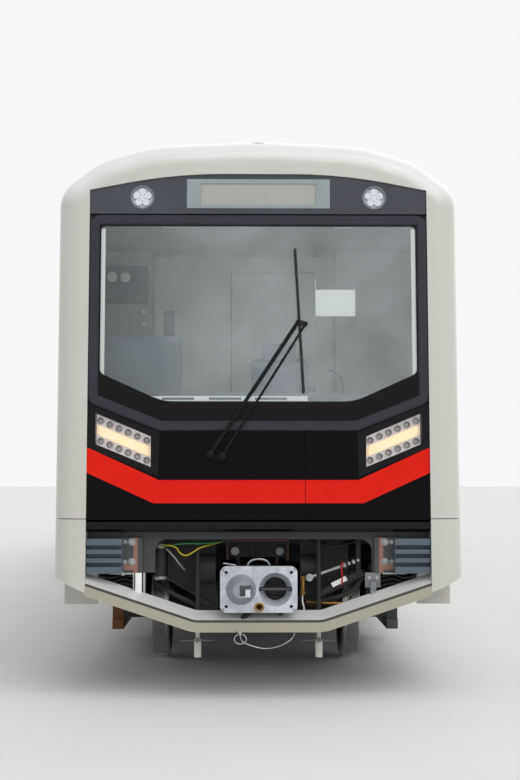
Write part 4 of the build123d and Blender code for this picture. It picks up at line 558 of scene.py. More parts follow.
def collectors():
    # laminated wooden beams with grey steel fittings
    finish = Finish("collectorWood", Specular_IOR_Level=0.3)
    x, y, z = finish.axes()
    grain = {"Vector": finish.place(), "Scale": 28, "Distortion": 0.6}
    layers = finish.make("ShaderNodeTexWave", {"bands_direction": "Z"}, grain)
    patch = finish.noise(14, 5, 0.65, stretch=(1, 0.15, 3))
    wood = finish.mix(layers * 0.5 + patch * 0.5, rgb(96, 62, 40), rgb(150, 104, 66))
    beam = (1.058, 1.152)
    covered = x > 0.0  # the right beams have a grey cover
    fitting = calc("MINIMUM", 1 - abs(x).between(*beam) + covered, 1.0)
    finish.set(Base_Color=finish.mix(fitting, wood, rgb(92, 94, 98)))
    finish.set(Roughness=finish.spread(patch, 0.3, 0.7, 0.5, 0.75))
    finish.bump(layers, 0.0006, 0.4)
    return finish


def floorCovering():
    # speckled covering inside, dark coated steel below
    finish = paint("floorCovering", rgb(52, 52, 54), machineLook)
    x, y, z = finish.axes()
    fleck = finish.make("ShaderNodeTexVoronoi", inputs={"Vector": finish.place(), "Scale": 320})
    covering = finish.mix(finish.spread(fleck, 0.25, 0.32), rgb(150, 152, 154), rgb(98, 101, 105))
    finish.over(z > up(1.12), covering)
    return finish


def fabric(name, colour):
    # woven cloth: two crossing sets of threads, uneven dye
    finish = Finish(name, Roughness=0.88, Specular_IOR_Level=0.2)
    finish.skin.inputs["Sheen Weight"].default_value = 0.25
    threads = {"Vector": finish.place(), "Scale": 86.6667, "Distortion": 0.4}
    warp = finish.make("ShaderNodeTexWave", {"bands_direction": "X"}, threads)
    weft = finish.make("ShaderNodeTexWave", {"bands_direction": "Y"}, threads)
    cloud = finish.noise(7, 4, 0.6)
    finish.set(Base_Color=finish.mix(finish.spread(cloud, 0.3, 0.75), colour, tone(colour, 0.72)))
    finish.bump(warp * weft + cloud * 0.2, 0.0005, 0.5)
    return finish


def matrixGlass():
    # blank display: columns of switched-off elements behind clear glass
    finish = Finish("matrixGlass", Specular_IOR_Level=0.3)
    x, v = finish.maskSpot()
    cell = 0.0078
    column = calc("FRACT", x / cell)
    row = calc("FRACT", v / cell)
    dot = (abs(column - 0.5) < 0.33) * (abs(row - 0.5) < 0.42)
    cloud = finish.noise(7, 4)
    field = finish.mix(cloud, rgb(150, 154, 150), rgb(166, 168, 160))
    finish.set(Base_Color=finish.mix(dot, field, rgb(178, 179, 170)))
    finish.set(Roughness=finish.spread(cloud, 0.3, 0.7, 0.14, 0.26))
    finish.bump(dot, 0.0004, 0.2)
    return finish


def roofLamp():
    # white reflector lobes in a grey ring, the lobes painted darker as painted shade where they turn from the
    # front
    lamp = {"x": 0.788, "v": 2.259, "rim": 0.069}
    finish = Finish("roofLamp", Roughness=0.2, Specular_IOR_Level=0.4)
    x, v = finish.maskSpot()
    out = away(abs(x) - lamp["x"], v - lamp["v"])
    # painted shade: the lobes darken where their surface turns away from the front
    depth = finish.spread(finish.facing("Y"), -0.95, -0.5)
    cloud = finish.noise(30, 4)
    lobe = finish.mix(cloud, rgb(226, 230, 236), rgb(204, 208, 214))
    ring = finish.mix(cloud, rgb(116, 118, 124), rgb(134, 136, 140))
    finish.set(Base_Color=finish.mix(out > lamp["rim"], finish.mix(depth, lobe, rgb(150, 152, 158)), ring))
    finish.bump(finish.noise(300, 2), 0.0002, 0.2)
    return finish


finishes = {
    "body_paint": bodyPaint(),
    "black_gloss": blackGloss(),
    "rib_plastic": mouldings(),
    "clear_glass": glass("clearGlass", screenLook),
    "tinted_glass": glass("tintedGlass", sideLook),
    "lamp_housing": lampHousing(),
    "lamp_light": lampRows(),
    "lamp_lens": glass("lampLens", lensLook),
    "roof_lamp": roofLamp(),
    "matrix": matrixGlass(),
    "apron_paint": apronPaint(),
    "headstock_paint": paint("headstockPaint", rgb(54, 56, 58), dict(steelLook, soiled=0.2)),
    "anticlimber_paint": anticlimberPaint(),
    "coupler_metal": couplerCast(),
    "cable_steel": metal("cableSteel", rgb(168, 170, 172), chromeLook),
    "dark_steel": paint("darkSteel", rgb(48, 49, 52), machineLook),
    "gear_black": frontGear(),
    "rubber_black": rubber("rubberBlack", rgb(24, 24, 25)),
    "collector_wood": collectors(),
    "motor_grey": paint("motorGrey", rgb(84, 88, 92), machineLook),
    "roof_grey": paint("roofGrey", rgb(150, 152, 150), dict(steelLook, soiled=0.3, dust=rgb(110, 106, 98))),
    "floor_grey": floorCovering(),
    "console_blue": plastic("consoleBlue", rgb(98, 112, 124), 0.5, 260),
    "cabinet_green": paint("cabinetGreen", rgb(146, 154, 144), cleanLook),
    "lining_white": plastic("liningWhite", rgb(206, 208, 204), 0.42, 220),
    "seat_red": plastic("seatRed", rgb(158, 38, 40), 0.4, 240),
    "driver_fabric": fabric("driverFabric", rgb(112, 124, 138)),
    "rail_yellow": paint("railYellow", rgb(222, 178, 40), dict(cleanLook, rough=0.3)),
    "wiper_black": plastic("wiperBlack", rgb(14, 14, 15), 0.4, 400, 0.15),
    "bellows_black": rubber("bellowsBlack", rgb(34, 35, 38), 0.75),
}
ownFinishes = {f"wheelset_{number}": wheelSteel(number) for number in (1, 2, 3, 4)}
ownFinishes["destination_display"] = displayFrame()
ownFinishes["draft_gear"] = draftSteel()
for part in frame["record"]["subparts"]:
    finish = ownFinishes.get(part["node"]) or finishes[part["material_slot"]]
    nodes[part["node"]].data.materials.clear()
    nodes[part["node"]].data.materials.append(finish.material)
print("finishes on every node")


# modelling helpers
def spots(*points):
    # points whose third value is a height over the rail
    return [Vector((x, y, up(height))) for x, y, height in points]


def clear():
    if bpy.context.object and bpy.context.object.mode != "OBJECT":
        bpy.ops.object.mode_set(mode="OBJECT")
    bpy.ops.object.select_all(action="DESELECT")


def pick(*pieces):
    # selects these pieces and no others, the first as the active one
    clear()
    for piece in pieces:
        piece.select_set(True)
    bpy.context.view_layer.objects.active = pieces[0]


def settle(piece, name):
    # names the piece and puts its place into its mesh
    piece.name = name
    piece.data.name = name
    pick(piece)
    bpy.ops.object.transform_apply(location=True, rotation=True, scale=True)
    return piece


def use(piece, modifierType, **settings):
    # adds a modifier and applies it
    pick(piece)
    modifier = piece.modifiers.new(modifierType.title(), modifierType)
    for key, value in settings.items():
        setattr(modifier, key, value)
    bpy.ops.object.modifier_apply(modifier=modifier.name)
    return piece


def shade(piece, angle=35):
    pick(piece)
    bpy.ops.object.shade_smooth_by_angle(angle=math.radians(angle))
    return piece


def soften(piece, width=0.003, segments=2, angle=35):
    # rounds the sharp edges, then shades smooth where the turn is small
    use(piece, "BEVEL", width=width, segments=segments, limit_method="ANGLE", angle_limit=math.radians(angle))
    return shade(piece)


def box(name, low, high, width=0.003):
    # a block between two corners with rounded edges
    low = Vector(low)
    high = Vector(high)
    clear()
    bpy.ops.mesh.primitive_cube_add(size=1, location=(low + high) / 2)
    piece = bpy.context.object
    piece.scale = high - low
    return soften(settle(piece, name), width)


def heightBox(name, x, y, height, width=0.003):
    # a block whose third reach is given over the rail
    return box(name, (x[0], y[0], up(height[0])), (x[1], y[1], up(height[1])), width)


def sideBox(name, side, x, y, height, width=0.003):
    # a block on one side of the car, its first reach given outwards from the middle
    return heightBox(name, sorted((side * x[0], side * x[1])), y, height, width)


def aim(direction):
    return Vector(direction).to_track_quat("Z", "Y").to_euler()


def rodBetween(name, start, end, radius, sides=24, width=0.002, endRadius=None):
    # a round bar from one point of the frame to another, with rounded ends
    clear()
    bpy.ops.mesh.primitive_cone_add(
        vertices=sides,
        radius1=radius,
        radius2=radius if endRadius is None else endRadius,
        depth=(end - start).length,
        location=(start + end) / 2,
        rotation=aim(end - start),
    )
    return soften(settle(bpy.context.object, name), width, 2, 50)


def rod(name, start, end, *sizes):
    # a round bar whose ends are given with heights over the rail
    return rodBetween(name, *spots(start, end), *sizes)


def post(name, x, y, heights, *sizes):
    return rod(name, (x, y, heights[0]), (x, y, heights[1]), *sizes)


def crossBar(name, side, x, y, height, *sizes):
    # a round bar across the car, on one side of it
    return rod(name, (side * x[0], y, height), (side * x[1], y, height), *sizes)


def turned(place, degrees, axis):
    # the matrix that turns a piece made at the origin and moves it to its place
    return Matrix.Translation(spots(place)[0]) @ Matrix.Rotation(math.radians(degrees), 4, axis)


def hoop(name, place, radius, wire, steps, sides, lean=0.0):
    # a ring of round wire
    clear()
    bpy.ops.mesh.primitive_torus_add(
        major_radius=radius,
        minor_radius=wire,
        major_segments=steps,
        minor_segments=sides,
        location=spots(place)[0],
        rotation=(lean, 0, 0),
    )
    return shade(settle(bpy.context.object, name))


def roundLine(name, points, radius, kind="NURBS", section=2, steps=8):
    # a curve with a round section: smooth between its ends, or as a closed POLY line
    curve = bpy.data.curves.new(name, "CURVE")
    curve.dimensions = "3D"
    curve.bevel_depth = radius
    curve.bevel_resolution = section
    curve.use_fill_caps = True
    line = curve.splines.new(kind)
    line.points.add(len(points) - 1)
    for point, place in zip(line.points, spots(*points)):
        point.co = (*place, 1)
    line.order_u = 3
    line.resolution_u = steps
    line.use_endpoint_u = kind == "NURBS"
    line.use_cyclic_u = kind == "POLY"
    piece = bpy.data.objects.new(name, curve)
    bpy.context.scene.collection.objects.link(piece)
    return piece


def asMesh(piece):
    pick(piece)
    bpy.ops.object.convert(target="MESH")
    return shade(bpy.context.object, 50)


def pipe(name, points, radius):
    # a hose or wire along a smooth line
    return asMesh(roundLine(name, points, radius))


def copies(piece, places):
    # moved copies of the piece, each with a mesh of its own, in its stead
    group = []
    for place in places:
        twin = piece.copy()
        twin.data = piece.data.copy()
        bpy.context.scene.collection.objects.link(twin)
        twin.data.transform(place if isinstance(place, Matrix) else Matrix.Translation(place))
        group.append(twin)
    bpy.data.objects.remove(piece)
    return group


def join(name, pieces):
    pick(*pieces)
    if len(pieces) > 1:
        bpy.ops.object.join()
    joined = bpy.context.object
    joined.name = name
    joined.data.name = name
    return joined


def hand(piece, finish, body="root"):
    # gives the piece its finish and the body that it rides on
    piece.data.materials.clear()
    piece.data.materials.append(finish.material)
    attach(piece, body)
    return piece


def bolt(name, size, tall):
    # hexagon head on a washer, looking along +Z from the origin
    parts = []
    for sides, radius, depth, middle, edge in (
        (6, size, tall, tall / 2 + 0.002, size * 0.12),
        (16, size * 1.45, 0.003, 0.0012, 0.0006),
    ):
        clear()
        place = (0, 0, middle)
        bpy.ops.mesh.primitive_cylinder_add(vertices=sides, radius=radius, depth=depth, location=place)
        parts.append(soften(settle(bpy.context.object, name), edge, 1, 30))
    return join(name, parts)


def placed(point, direction, turn):
    # the matrix that moves a piece made at the origin to a point and a direction
    rotation = aim(direction).to_matrix().to_4x4()
    return Matrix.Translation(point) @ rotation @ Matrix.Rotation(turn, 4, "Z")


def boltsAt(name, places, direction, size, tall):
    # bolts at places with heights over the rail, each turned a little further
    ways = [placed(place, direction, 0.4 * i) for i, place in enumerate(spots(*places))]
    return join(name, copies(bolt(name + "One", size, tall), ways))


def smoothCopy(node):
    # the node's own shape with its narrow facets shaded smooth
    piece = nodes[node].copy()
    piece.data = nodes[node].data.copy()
    for key in list(piece.keys()):
        del piece[key]
    piece.parent = None
    bpy.context.scene.collection.objects.link(piece)
    piece.name = node + "Skin"
    piece.data.name = node + "Skin"
    pick(piece)
    bpy.ops.object.mode_set(mode="EDIT")
    bpy.ops.mesh.select_all(action="SELECT")
    bpy.ops.mesh.remove_doubles(threshold=0.00002)
    bpy.ops.object.mode_set(mode="OBJECT")
    shade(piece, 32)
    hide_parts(node)
    return piece


for node in ("lower_corners", "roof"):
    hand(smoothCopy(node), finishes["body_paint"])
print("smooth skins made")

# front fairing: the shell's own outline, with enough sections to look smooth
nose = {
    "corners": [(1.360, 3.390, 0.22), (1.080, 3.600, 0.40), (0.720, 3.715, 1.20), (0.0, 3.750, 3.00)],
    "low": 1.163,
    "rear": -8.62,
    "edge": 0.16,  # radius of the rounded front edge
    "sections": 16,
    "cornerSteps": 14,
    "reveal": 0.05,
    "wall": 0.044,
    "mask": {"half": 1.143, "side": 2.308, "top": 2.420, "kink": 0.56, "kinkRadius": 3.5},
}


def filleted(points, radii, steps):
    # a line with rounded corners: x, height and the outward normal of each point
    line = [(*points[0], 1.0, 0.0)]
    for before, corner, after, radius in zip(points, points[1:], points[2:], radii):
        first = math.atan2(corner[1] - before[1], corner[0] - before[0])
        last = math.atan2(after[1] - corner[1], after[0] - corner[0])
        reach = radius * math.tan((last - first) % math.tau / 2)
        startX = corner[0] - math.cos(first) * reach
        startZ = corner[1] - math.sin(first) * reach
        lastX, lastZ, outX, outZ = line[-1]
        for step in range(1, steps):
            share = step / steps
            spot = (lastX + (startX - lastX) * share, lastZ + (startZ - lastZ) * share)
            line.append((*spot, math.sin(first), -math.cos(first)))
        for step in range(steps + 1):
            angle = first + (last - first) % math.tau * step / steps
            x = startX + radius * (math.sin(angle) - math.sin(first))
            z = startZ + radius * (math.cos(first) - math.cos(angle))
            line.append((x, z, math.sin(angle), -math.cos(angle)))
    line.append((*points[-1], -1.0, 0.0))
    return line


def maskTop(x):
    # height up the slope of the opening's top edge
    mask = nose["mask"]
    lean = math.atan((mask["top"] - mask["side"]) / (mask["half"] - mask["kink"]))
    radius = mask["kinkRadius"]
    start = mask["kink"] - radius * math.tan(lean / 2)
    out = abs(x) - start
    if out <= 0:
        return mask["top"]
    if out < radius * math.sin(lean):
        return mask["top"] - radius + math.sqrt(radius * radius - out * out)
    return mask["top"] - (abs(x) - mask["kink"]) * math.tan(lean)


def nosePoint(x, height, outX, outZ, way):
    # where the shell is, way along from the side towards the middle of the mask
    turn = min(way / nose["edge"], math.pi / 2)
    inset = nose["edge"] * (1 - math.cos(turn)) + max(0.0, way - nose["edge"] * math.pi / 2)
    depth = nose["edge"] * (1 - math.sin(turn))
    x -= outX * inset
    height -= outZ * inset
    v = (height - car["maskFoot"] + depth * math.sin(car["rake"])) / math.cos(car["rake"])
    return x, v, depth


def frontFairing():
    corners = nose["corners"]
    points = [(corners[0][0], nose["low"])] + [(x, z) for x, z, radius in corners]
    points += [(-x, z) for x, z in reversed(points[:-1])]
    radii = [radius for x, z, radius in corners]
    line = filleted(points, radii + radii[-2::-1], nose["cornerSteps"])
    rings = [[Vector((x, nose["rear"], up(z))) for x, z, outX, outZ in line]]
    ends = []
    for column in line:
        near, far = 0.0, 0.6
        while far - near > 1e-5:  # halves the way until it meets the opening's edge
            middle = (near + far) / 2
            x, v, depth = nosePoint(*column, middle)
            inside = abs(x) < nose["mask"]["half"] and v < maskTop(x)
            near, far = (near, middle) if inside else (middle, far)
        ends.append(near)
    for step in range(nose["sections"] + 1):
        share = step / nose["sections"]
        row = [nosePoint(*column, end * share) for column, end in zip(line, ends)]
        rings.append([onMask(x, v, -depth) for x, v, depth in row])
    for side in (-1, 1):  # the column nearest to the opening's corner goes into it
        corner = Vector((side * nose["mask"]["half"], nose["mask"]["side"]))
        nearest = min(range(len(row)), key=lambda i: (Vector(row[i][:2]) - corner).length)
        row[nearest] = (*corner, row[nearest][2])
        rings[-1][nearest] = onMask(*corner, -row[nearest][2])
    rings.append([onMask(x, v, -depth - nose["reveal"]) for x, v, depth in row])
    mesh = bpy.data.meshes.new("frontFairing")
    width = len(line)
    faces = []
    for ring in range(len(rings) - 1):
        for spot in range(ring * width, ring * width + width - 1):
            faces.append((spot, spot + 1, spot + width + 1, spot + width))
    mesh.from_pydata([point for ring in rings for point in ring], [], faces)
    shell = bpy.data.objects.new("frontFairing", mesh)
    bpy.context.scene.collection.objects.link(shell)
    use(shell, "SOLIDIFY", thickness=nose["wall"], offset=-1)
    shade(shell, 30)
    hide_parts("front_fairing")
    return hand(shell, finishes["body_paint"])


frontFairing()
print("front fairing made")

# release cable between its two clamps under the apron
cable = {
    "radius": 0.0035,
    "length": 0.477,
    "route": [
        (-0.124, -9.636, 0.411), (-0.123, -9.636, 0.378), (-0.100, -9.636, 0.352), (-0.058, -9.635, 0.335),
        (-0.006, -9.634, 0.319), (0.048, -9.633, 0.312), (0.100, -9.632, 0.318), (0.148, -9.629, 0.332),
        (0.190, -9.622, 0.354), (0.220, -9.608, 0.374), (0.236, -9.588, 0.398), (0.236, -9.588, 0.434),
    ],
}


def releaseCable():
    piece = roundLine("releaseCable", cable["route"], cable["radius"], section=3, steps=12)
    hand(piece, finishes["cable_steel"])
    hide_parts("release_cable")
    x, y, height = cable["route"][0]
    up(height)


releaseCable()
print("release cable laid")

# finishes of the small pieces
bare = {
    "zinc": metal("zincSteel", rgb(176, 178, 180), dict(castLook, rough=0.3, grain=220)),
    "black": plastic("smallBlack", rgb(20, 20, 22), 0.5, 300),
    "hose": rubber("hoseRubber", rgb(22, 22, 23), 0.6),
    "pale": paint("paleBracket", rgb(176, 176, 172), steelLook),
    "brass": metal("brass", rgb(176, 136, 76), dict(castLook, dull=rgb(120, 88, 52), metal=0.9)),
    "yellow": plastic("wireYellow", rgb(196, 176, 40), 0.45, 400),
    "green": plastic("wireGreen", rgb(44, 120, 66), 0.45, 400),
    "red": fabric("tagRed", rgb(196, 34, 34)),
    "strip": glow("lightStrip", rgb(250, 252, 255), 2.6),
    "lamp": glow("cabLamp", rgb(250, 252, 255), 11.0),
    "screen": plastic("screenDark", rgb(14, 16, 19), 0.18, 200),
    "card": paint("cardWhite", rgb(246, 248, 244), cleanLook),
    "paperWithPaintedGlow": paint("paperWithPaintedGlow", rgb(250, 251, 246), cleanLook),
    "guard": metal("guardWire", rgb(120, 122, 124), castLook),
    "sill": metal("sillStrip", rgb(150, 152, 154), dict(castLook, rough=0.3)),
}
# the paper glows faintly as painted light; it is no lamp
bare["paperWithPaintedGlow"].skin.inputs["Emission Strength"].default_value = 0.2
flanks = ((-1, "Left"), (1, "Right"))


def fit(piece, finish, body="root"):
    return hand(piece, bare[finish], body)


# bolts of the anticlimbers' plates and of the arch over the coupler
plateBolts = {"y": -9.502, "columns": ((0.845, 0.017), (0.890, 0.011)), "heights": (1.003, 0.872)}
for x, size in plateBolts["columns"]:
    places = [(side * x, plateBolts["y"], z) for side in (-1, 1) for z in plateBolts["heights"]]
    bolts = boltsAt(f"plateBolts{round(x * 1000)}", places, (0, -1, 0), size, 0.011)
    fit(bolts, "zinc")
archBolts = [(side * 0.158, -8.959, 0.91) for side in (-1, 1)]
fit(boltsAt("archBolts", archBolts, (0, -1, 0), 0.02, 0.01), "zinc")

# round studs under the air cylinder, and the rings at its ends
cylinder = {
    "x": -0.664,
    "y": -9.33,
    "foot": (0.738, 0.752),
    "rings": ((0.744, 0.764), (0.955, 0.985)),
    "orbit": 0.031,
}
studs = []
for turn in range(4):
    angle = math.radians(45 + 90 * turn)
    x = cylinder["x"] + cylinder["orbit"] * math.cos(angle)
    y = cylinder["y"] + cylinder["orbit"] * math.sin(angle)
    studs.append(post("studLow", x, y, cylinder["foot"], 0.0065, 10))
for heights in cylinder["rings"]:
    studs.append(post("capRing", cylinder["x"], cylinder["y"], heights, 0.0425, 32, 0.003))
fit(join("cylinderStuds", studs), "zinc")

# pipes and wires under the nose: name, finish, radius, points as x, y, height
runs = [
    ("greenWire", "green", 0.005, [
        (-0.64, -9.37, 0.965), (-0.60, -9.43, 0.975), (-0.50, -9.442, 0.992),
        (-0.36, -9.44, 0.988), (-0.24, -9.40, 1.0), (-0.21, -9.2, 1.01),
    ]),
    ("yellowWire", "yellow", 0.005, [
        (-0.66, -9.37, 0.965), (-0.62, -9.44, 0.985), (-0.545, -9.445, 0.965),
        (-0.530, -9.445, 0.925), (-0.485, -9.445, 0.905), (-0.435, -9.445, 0.935),
        (-0.390, -9.44, 0.965), (-0.30, -9.40, 0.985), (-0.25, -9.2, 0.99),
    ]),
    ("greyPipe", "pale", 0.006, [
        (-0.62, -9.36, 0.95), (-0.57, -9.37, 0.90), (-0.53, -9.34, 0.84), (-0.50, -9.25, 0.80),
    ]),
    ("lowHoseLeft", "hose", 0.016, [
        (-0.70, -9.26, 0.72), (-0.60, -9.34, 0.66), (-0.45, -9.36, 0.58),
        (-0.30, -9.34, 0.53), (-0.16, -9.25, 0.50), (-0.10, -9.05, 0.50),
    ]),
    ("thinPipeLeft", "black", 0.008, [
        (-0.69, -9.28, 0.70), (-0.55, -9.36, 0.65), (-0.40, -9.37, 0.56), (-0.26, -9.36, 0.52),
    ]),
    ("lowHoseRight", "hose", 0.016, [
        (0.72, -9.26, 0.80), (0.70, -9.33, 0.72), (0.60, -9.35, 0.64),
        (0.45, -9.34, 0.60), (0.33, -9.28, 0.60), (0.26, -9.10, 0.62),
    ]),
    ("highHoseRight", "hose", 0.012, [
        (0.36, -9.22, 1.0), (0.42, -9.36, 0.99), (0.52, -9.38, 0.96), (0.60, -9.36, 0.99), (0.66, -9.24, 1.0),
    ]),
    ("brassPipeLow", "brass", 0.007, [
        (0.33, -9.30, 0.59), (0.40, -9.38, 0.588), (0.51, -9.385, 0.585),
        (0.62, -9.38, 0.590), (0.64, -9.25, 0.62),
    ]),
    ("brassPipeHigh", "brass", 0.007, [
        (0.50, -9.30, 0.605), (0.54, -9.385, 0.575), (0.60, -9.385, 0.562), (0.63, -9.30, 0.58),
    ]),
    ("whiteLead", "card", 0.005, [
        (0.302, -9.35, 0.65), (0.296, -9.36, 0.60), (0.312, -9.37, 0.55),
        (0.305, -9.36, 0.50), (0.290, -9.30, 0.46),
    ]),
]
for name, finish, radius, points in runs:
    fit(pipe(name, points, radius), finish)

# white bracket left of the opening, grey one right of it: reaches across, along and up
brackets = [
    ("bracketShelf", "pale", (-0.984, -0.826), (-9.535, -9.482), (0.791, 0.799)),
    ("bracketLeg", "pale", (-0.834, -0.826), (-9.535, -9.482), (0.690, 0.795)),
    ("bracketPost", "card", (-0.820, -0.778), (-9.520, -9.475), (0.630, 0.799)),
    ("bracketPostBack", "pale", (-0.770, -0.755), (-9.500, -9.470), (0.630, 0.799)),
    ("greyBracket", "guard", (0.712, 0.815), (-9.500, -9.482), (0.700, 0.799)),
    ("greyBracketArm", "guard", (0.745, 0.785), (-9.520, -9.485), (0.640, 0.740)),
    ("rightShelf", "pale", (0.826, 0.984), (-9.535, -9.482), (0.791, 0.799)),
]
for name, finish, x, y, height in brackets:
    fit(heightBox(name, x, y, height, 0.002), finish)
bracketBolts = [(0.74, -9.500, 0.765), (0.79, -9.500, 0.765), (0.765, -9.520, 0.665), (-0.90, -9.535, 0.795)]
fit(boltsAt("bracketBolts", bracketBolts, (0, -1, 0), 0.009, 0.008), "zinc")

# damper: bright rod with its nuts and eye, a small valve, a ribbon and a blank label
damperParts = [rod("damperRod", (0.345, -9.375, 0.758), (0.575, -9.375, 0.838), 0.011, 16)]
for step, size in enumerate((0.020, 0.015, 0.018, 0.013)):
    x = 0.585 + 0.030 * step
    z = 0.838 + 0.011 * step
    damperParts.append(rod("damperNut", (x - 0.010, -9.378, z), (x + 0.008, -9.378, z + 0.007), size, 6))
damperParts.append(rod("damperEye", (0.345, -9.40, 0.758), (0.345, -9.34, 0.758), 0.026, 20, 0.004))
fit(join("damperRod", damperParts), "zinc")
valve = [((0.655, 0.735), 0.013, 12), ((0.735, 0.765), 0.019, 6), ((0.640, 0.660), 0.018, 6)]
valveParts = [post("valvePart", 0.302, -9.365, *sizes) for sizes in valve]
fit(join("smallValve", valveParts), "brass")
ribbon = [(0.572, -9.395, 0.862), (0.556, -9.40, 0.83), (0.570, -9.405, 0.77), (0.562, -9.40, 0.71)]
fit(pipe("tagRibbon", ribbon, 0.006), "red")
label = box("blankLabel", (-0.055, -0.002, -0.016), (0.055, 0.002, 0.016), 0.0008)
label.data.transform(turned((0.548, -9.366, 0.728), -26, "Y"))
fit(label, "card")

# coupler: lifting bow, lever, corner bolts, socket ring and hose stubs
bow = [
    (-0.075, -9.60, 0.845), (-0.070, -9.61, 0.875), (-0.03, -9.615, 0.897),
    (0.03, -9.615, 0.897), (0.070, -9.61, 0.875), (0.075, -9.60, 0.845),
]
corners = [(x, -9.651, 0.70 + z) for x in (-0.235, 0.235) for z in (-0.132, 0.132)]
bowParts = [
    pipe("couplerBow", bow, 0.006),
    rod("couplerLever", (-0.235, -9.58, 0.868), (-0.150, -9.58, 0.853), 0.006, 10),
    boltsAt("couplerBolts", corners, (0, -1, 0), 0.007, 0.005),
]
fit(join("couplerBow", bowParts), "zinc", "coupler")
ring = hoop("socketRing", (0.003, -9.686, 0.587), 0.026, 0.006, 32, 10, lean=math.pi / 2)
fit(ring, "brass", "coupler")
stubs = [
    rod("stubLong", (-0.045, -9.575, 0.560), (-0.110, -9.600, 0.502), 0.017, 16),
    rod("stubShort", (0.130, -9.575, 0.560), (0.150, -9.590, 0.530), 0.015, 16),
    rod("stubBack", (-0.015, -9.520, 0.560), (-0.060, -9.500, 0.500), 0.017, 16),
]
fit(join("hoseStubs", stubs), "hose", "coupler")

# eye loop of the release cable, with its ferrule
eye = {"x": -0.121, "y": -9.643, "height": 0.377, "across": 0.041, "tall": 0.034, "wire": 0.0032}
loop = []
for step in range(11):
    angle = math.radians(20 + 32 * step)
    x = eye["x"] + eye["across"] * math.sin(angle)
    loop.append((x, eye["y"], eye["height"] + eye["tall"] * math.cos(angle)))
ferrule = rod("ferrule", (eye["x"], -9.640, 0.398), (eye["x"] - 0.002, -9.640, 0.424), 0.0075, 14)
fit(join("eyeLoop", [pipe("eyeLoop", loop, eye["wire"]), ferrule]), "zinc")

# thin cross rods at the white sensor rods' sleeves
crossRods = []
for side in (-1, 1):
    crossRods.append(crossBar("crossRod", side, (0.52, 0.30), -9.43, 0.343, 0.004, 10))
    crossRods.append(rod("crossClamp", (side * 0.408, -9.44, 0.343), (side * 0.408, -9.42, 0.343), 0.016, 12))
fit(join("crossRods", crossRods), "guard")
print("gear under the nose dressed")

# dark trays that close the corners behind the anticlimbers, with four hoses each
for side, tag in flanks:
    tray = [sideBox("cornerTray", side, (0.775, 1.105), (-9.12, -9.08), (0.60, 0.83), 0.004)]
    for lane in range(4):
        places = []
        for step in range(5):
            height = 0.64 + 0.03 * lane + 0.02 * (step % 3)
            places.append((side * (0.80 + 0.07 * step), -9.13 - 0.02 * (step % 2), height))
        tray.append(pipe("trayHose", places, 0.012))
    fit(join(f"tray{tag}", tray), "black")


def onGlass(name, x, v, back, finish, width=0.001):
    # a flat piece parallel to the mask, given across, up the slope and behind its face
    piece = box(name, (x[0], back[0], v[0]), (x[1], back[1], v[1]), width)
    piece.data.transform(turned((0, car["noseY"], car["maskFoot"]), -math.degrees(car["rake"]), "X"))
    return fit(piece, finish)


# windscreen: pale trims at its side edges, defroster strip below, blank card, all of paper with a faint
# painted glow
for side, tag in flanks:
    onGlass(f"screenTrim{tag}", sorted((side * 1.036, side * 1.064)), (1.03, 2.045), (0.029, 0.032), "paperWithPaintedGlow")
onGlass("defroster", (-0.72, 0.331), (0.868, 0.902), (0.030, 0.036), "paperWithPaintedGlow")
# thin dark pieces on the strip stand for the defroster's slots as painted shade
for number, x in enumerate([(-0.646, -0.432), (-0.332, -0.117), (-0.024, 0.191)]):
    onGlass(f"defrosterSlotShade{number}", x, (0.876, 0.892), (0.0285, 0.030), "screen", 0.0005)
onGlass("blankCard", (0.385, 0.655), (1.445, 1.627), (0.032, 0.034), "paperWithPaintedGlow")

# cab: instrument panel on the cabinet, desk screens, levers and buttons
panel = {"face": -7.731, "plate": 0.012, "x": (-1.215, -0.855), "height": (2.80, 3.11)}
depth = (panel["face"] - panel["plate"], panel["face"])
fit(heightBox("panelPlate", panel["x"], depth, panel["height"], 0.004), "black")


def knob(name, x, height, low, tall, radius, sides, width=0.002):
    # a round knob on the cabinet, from low in front of its face
    start = (x, panel["face"] - low, height)
    return rod(name, start, (x, start[1] - tall, height), radius, sides, width)


dials = []
for x in (-1.141, -1.038):
    dials.append(knob("dial", x, 3.012, panel["plate"], 0.022, 0.040, 32, 0.004))
    dials.append(knob("dialKnob", x, 3.012, 0.034, 0.006, 0.008, 12))
dials += [knob("cabinetKnob", -0.891, height, 0.0, 0.03, 0.014, 16) for height in (2.734, 2.638)]
fit(join("cabDials", dials), "card")
columns = [-1.19 + 0.042 * step for step in range(8)]
buttons = [knob("panelButton", x, 2.86, panel["plate"], 0.014, 0.011, 12) for x in columns]
fit(join("panelButtons", buttons[:5]), "green")
fit(join("panelLights", buttons[5:]), "brass")
screens = []
for x in (-0.30, 0.08, 0.46):
    screen = [
        box("deskScreen", (-0.16, -0.012, -0.11), (0.16, 0.012, 0.11), 0.006),
        box("deskField", (-0.142, 0.012, -0.092), (0.142, 0.014, 0.092), 0.001),
    ]
    screens.append(join("deskScreen", screen))
    screens[-1].data.transform(turned((x, -8.97, 1.905), 25, "X"))
screens.append(heightBox("sideMonitor", (-0.66, -0.585), (-9.10, -9.06), (2.42, 2.60), 0.004))
fit(join("deskScreens", screens), "screen")
desk = []
for step in range(14):
    x = -0.42 + 0.09 * step
    desk.append(rod("deskButton", (x, -8.86, 1.945), (x, -8.865, 1.965), 0.012, 12))
gooseneck = [(0.62, -8.85, 1.92), (0.62, -8.86, 2.06), (0.60, -8.82, 2.16), (0.55, -8.76, 2.20)]
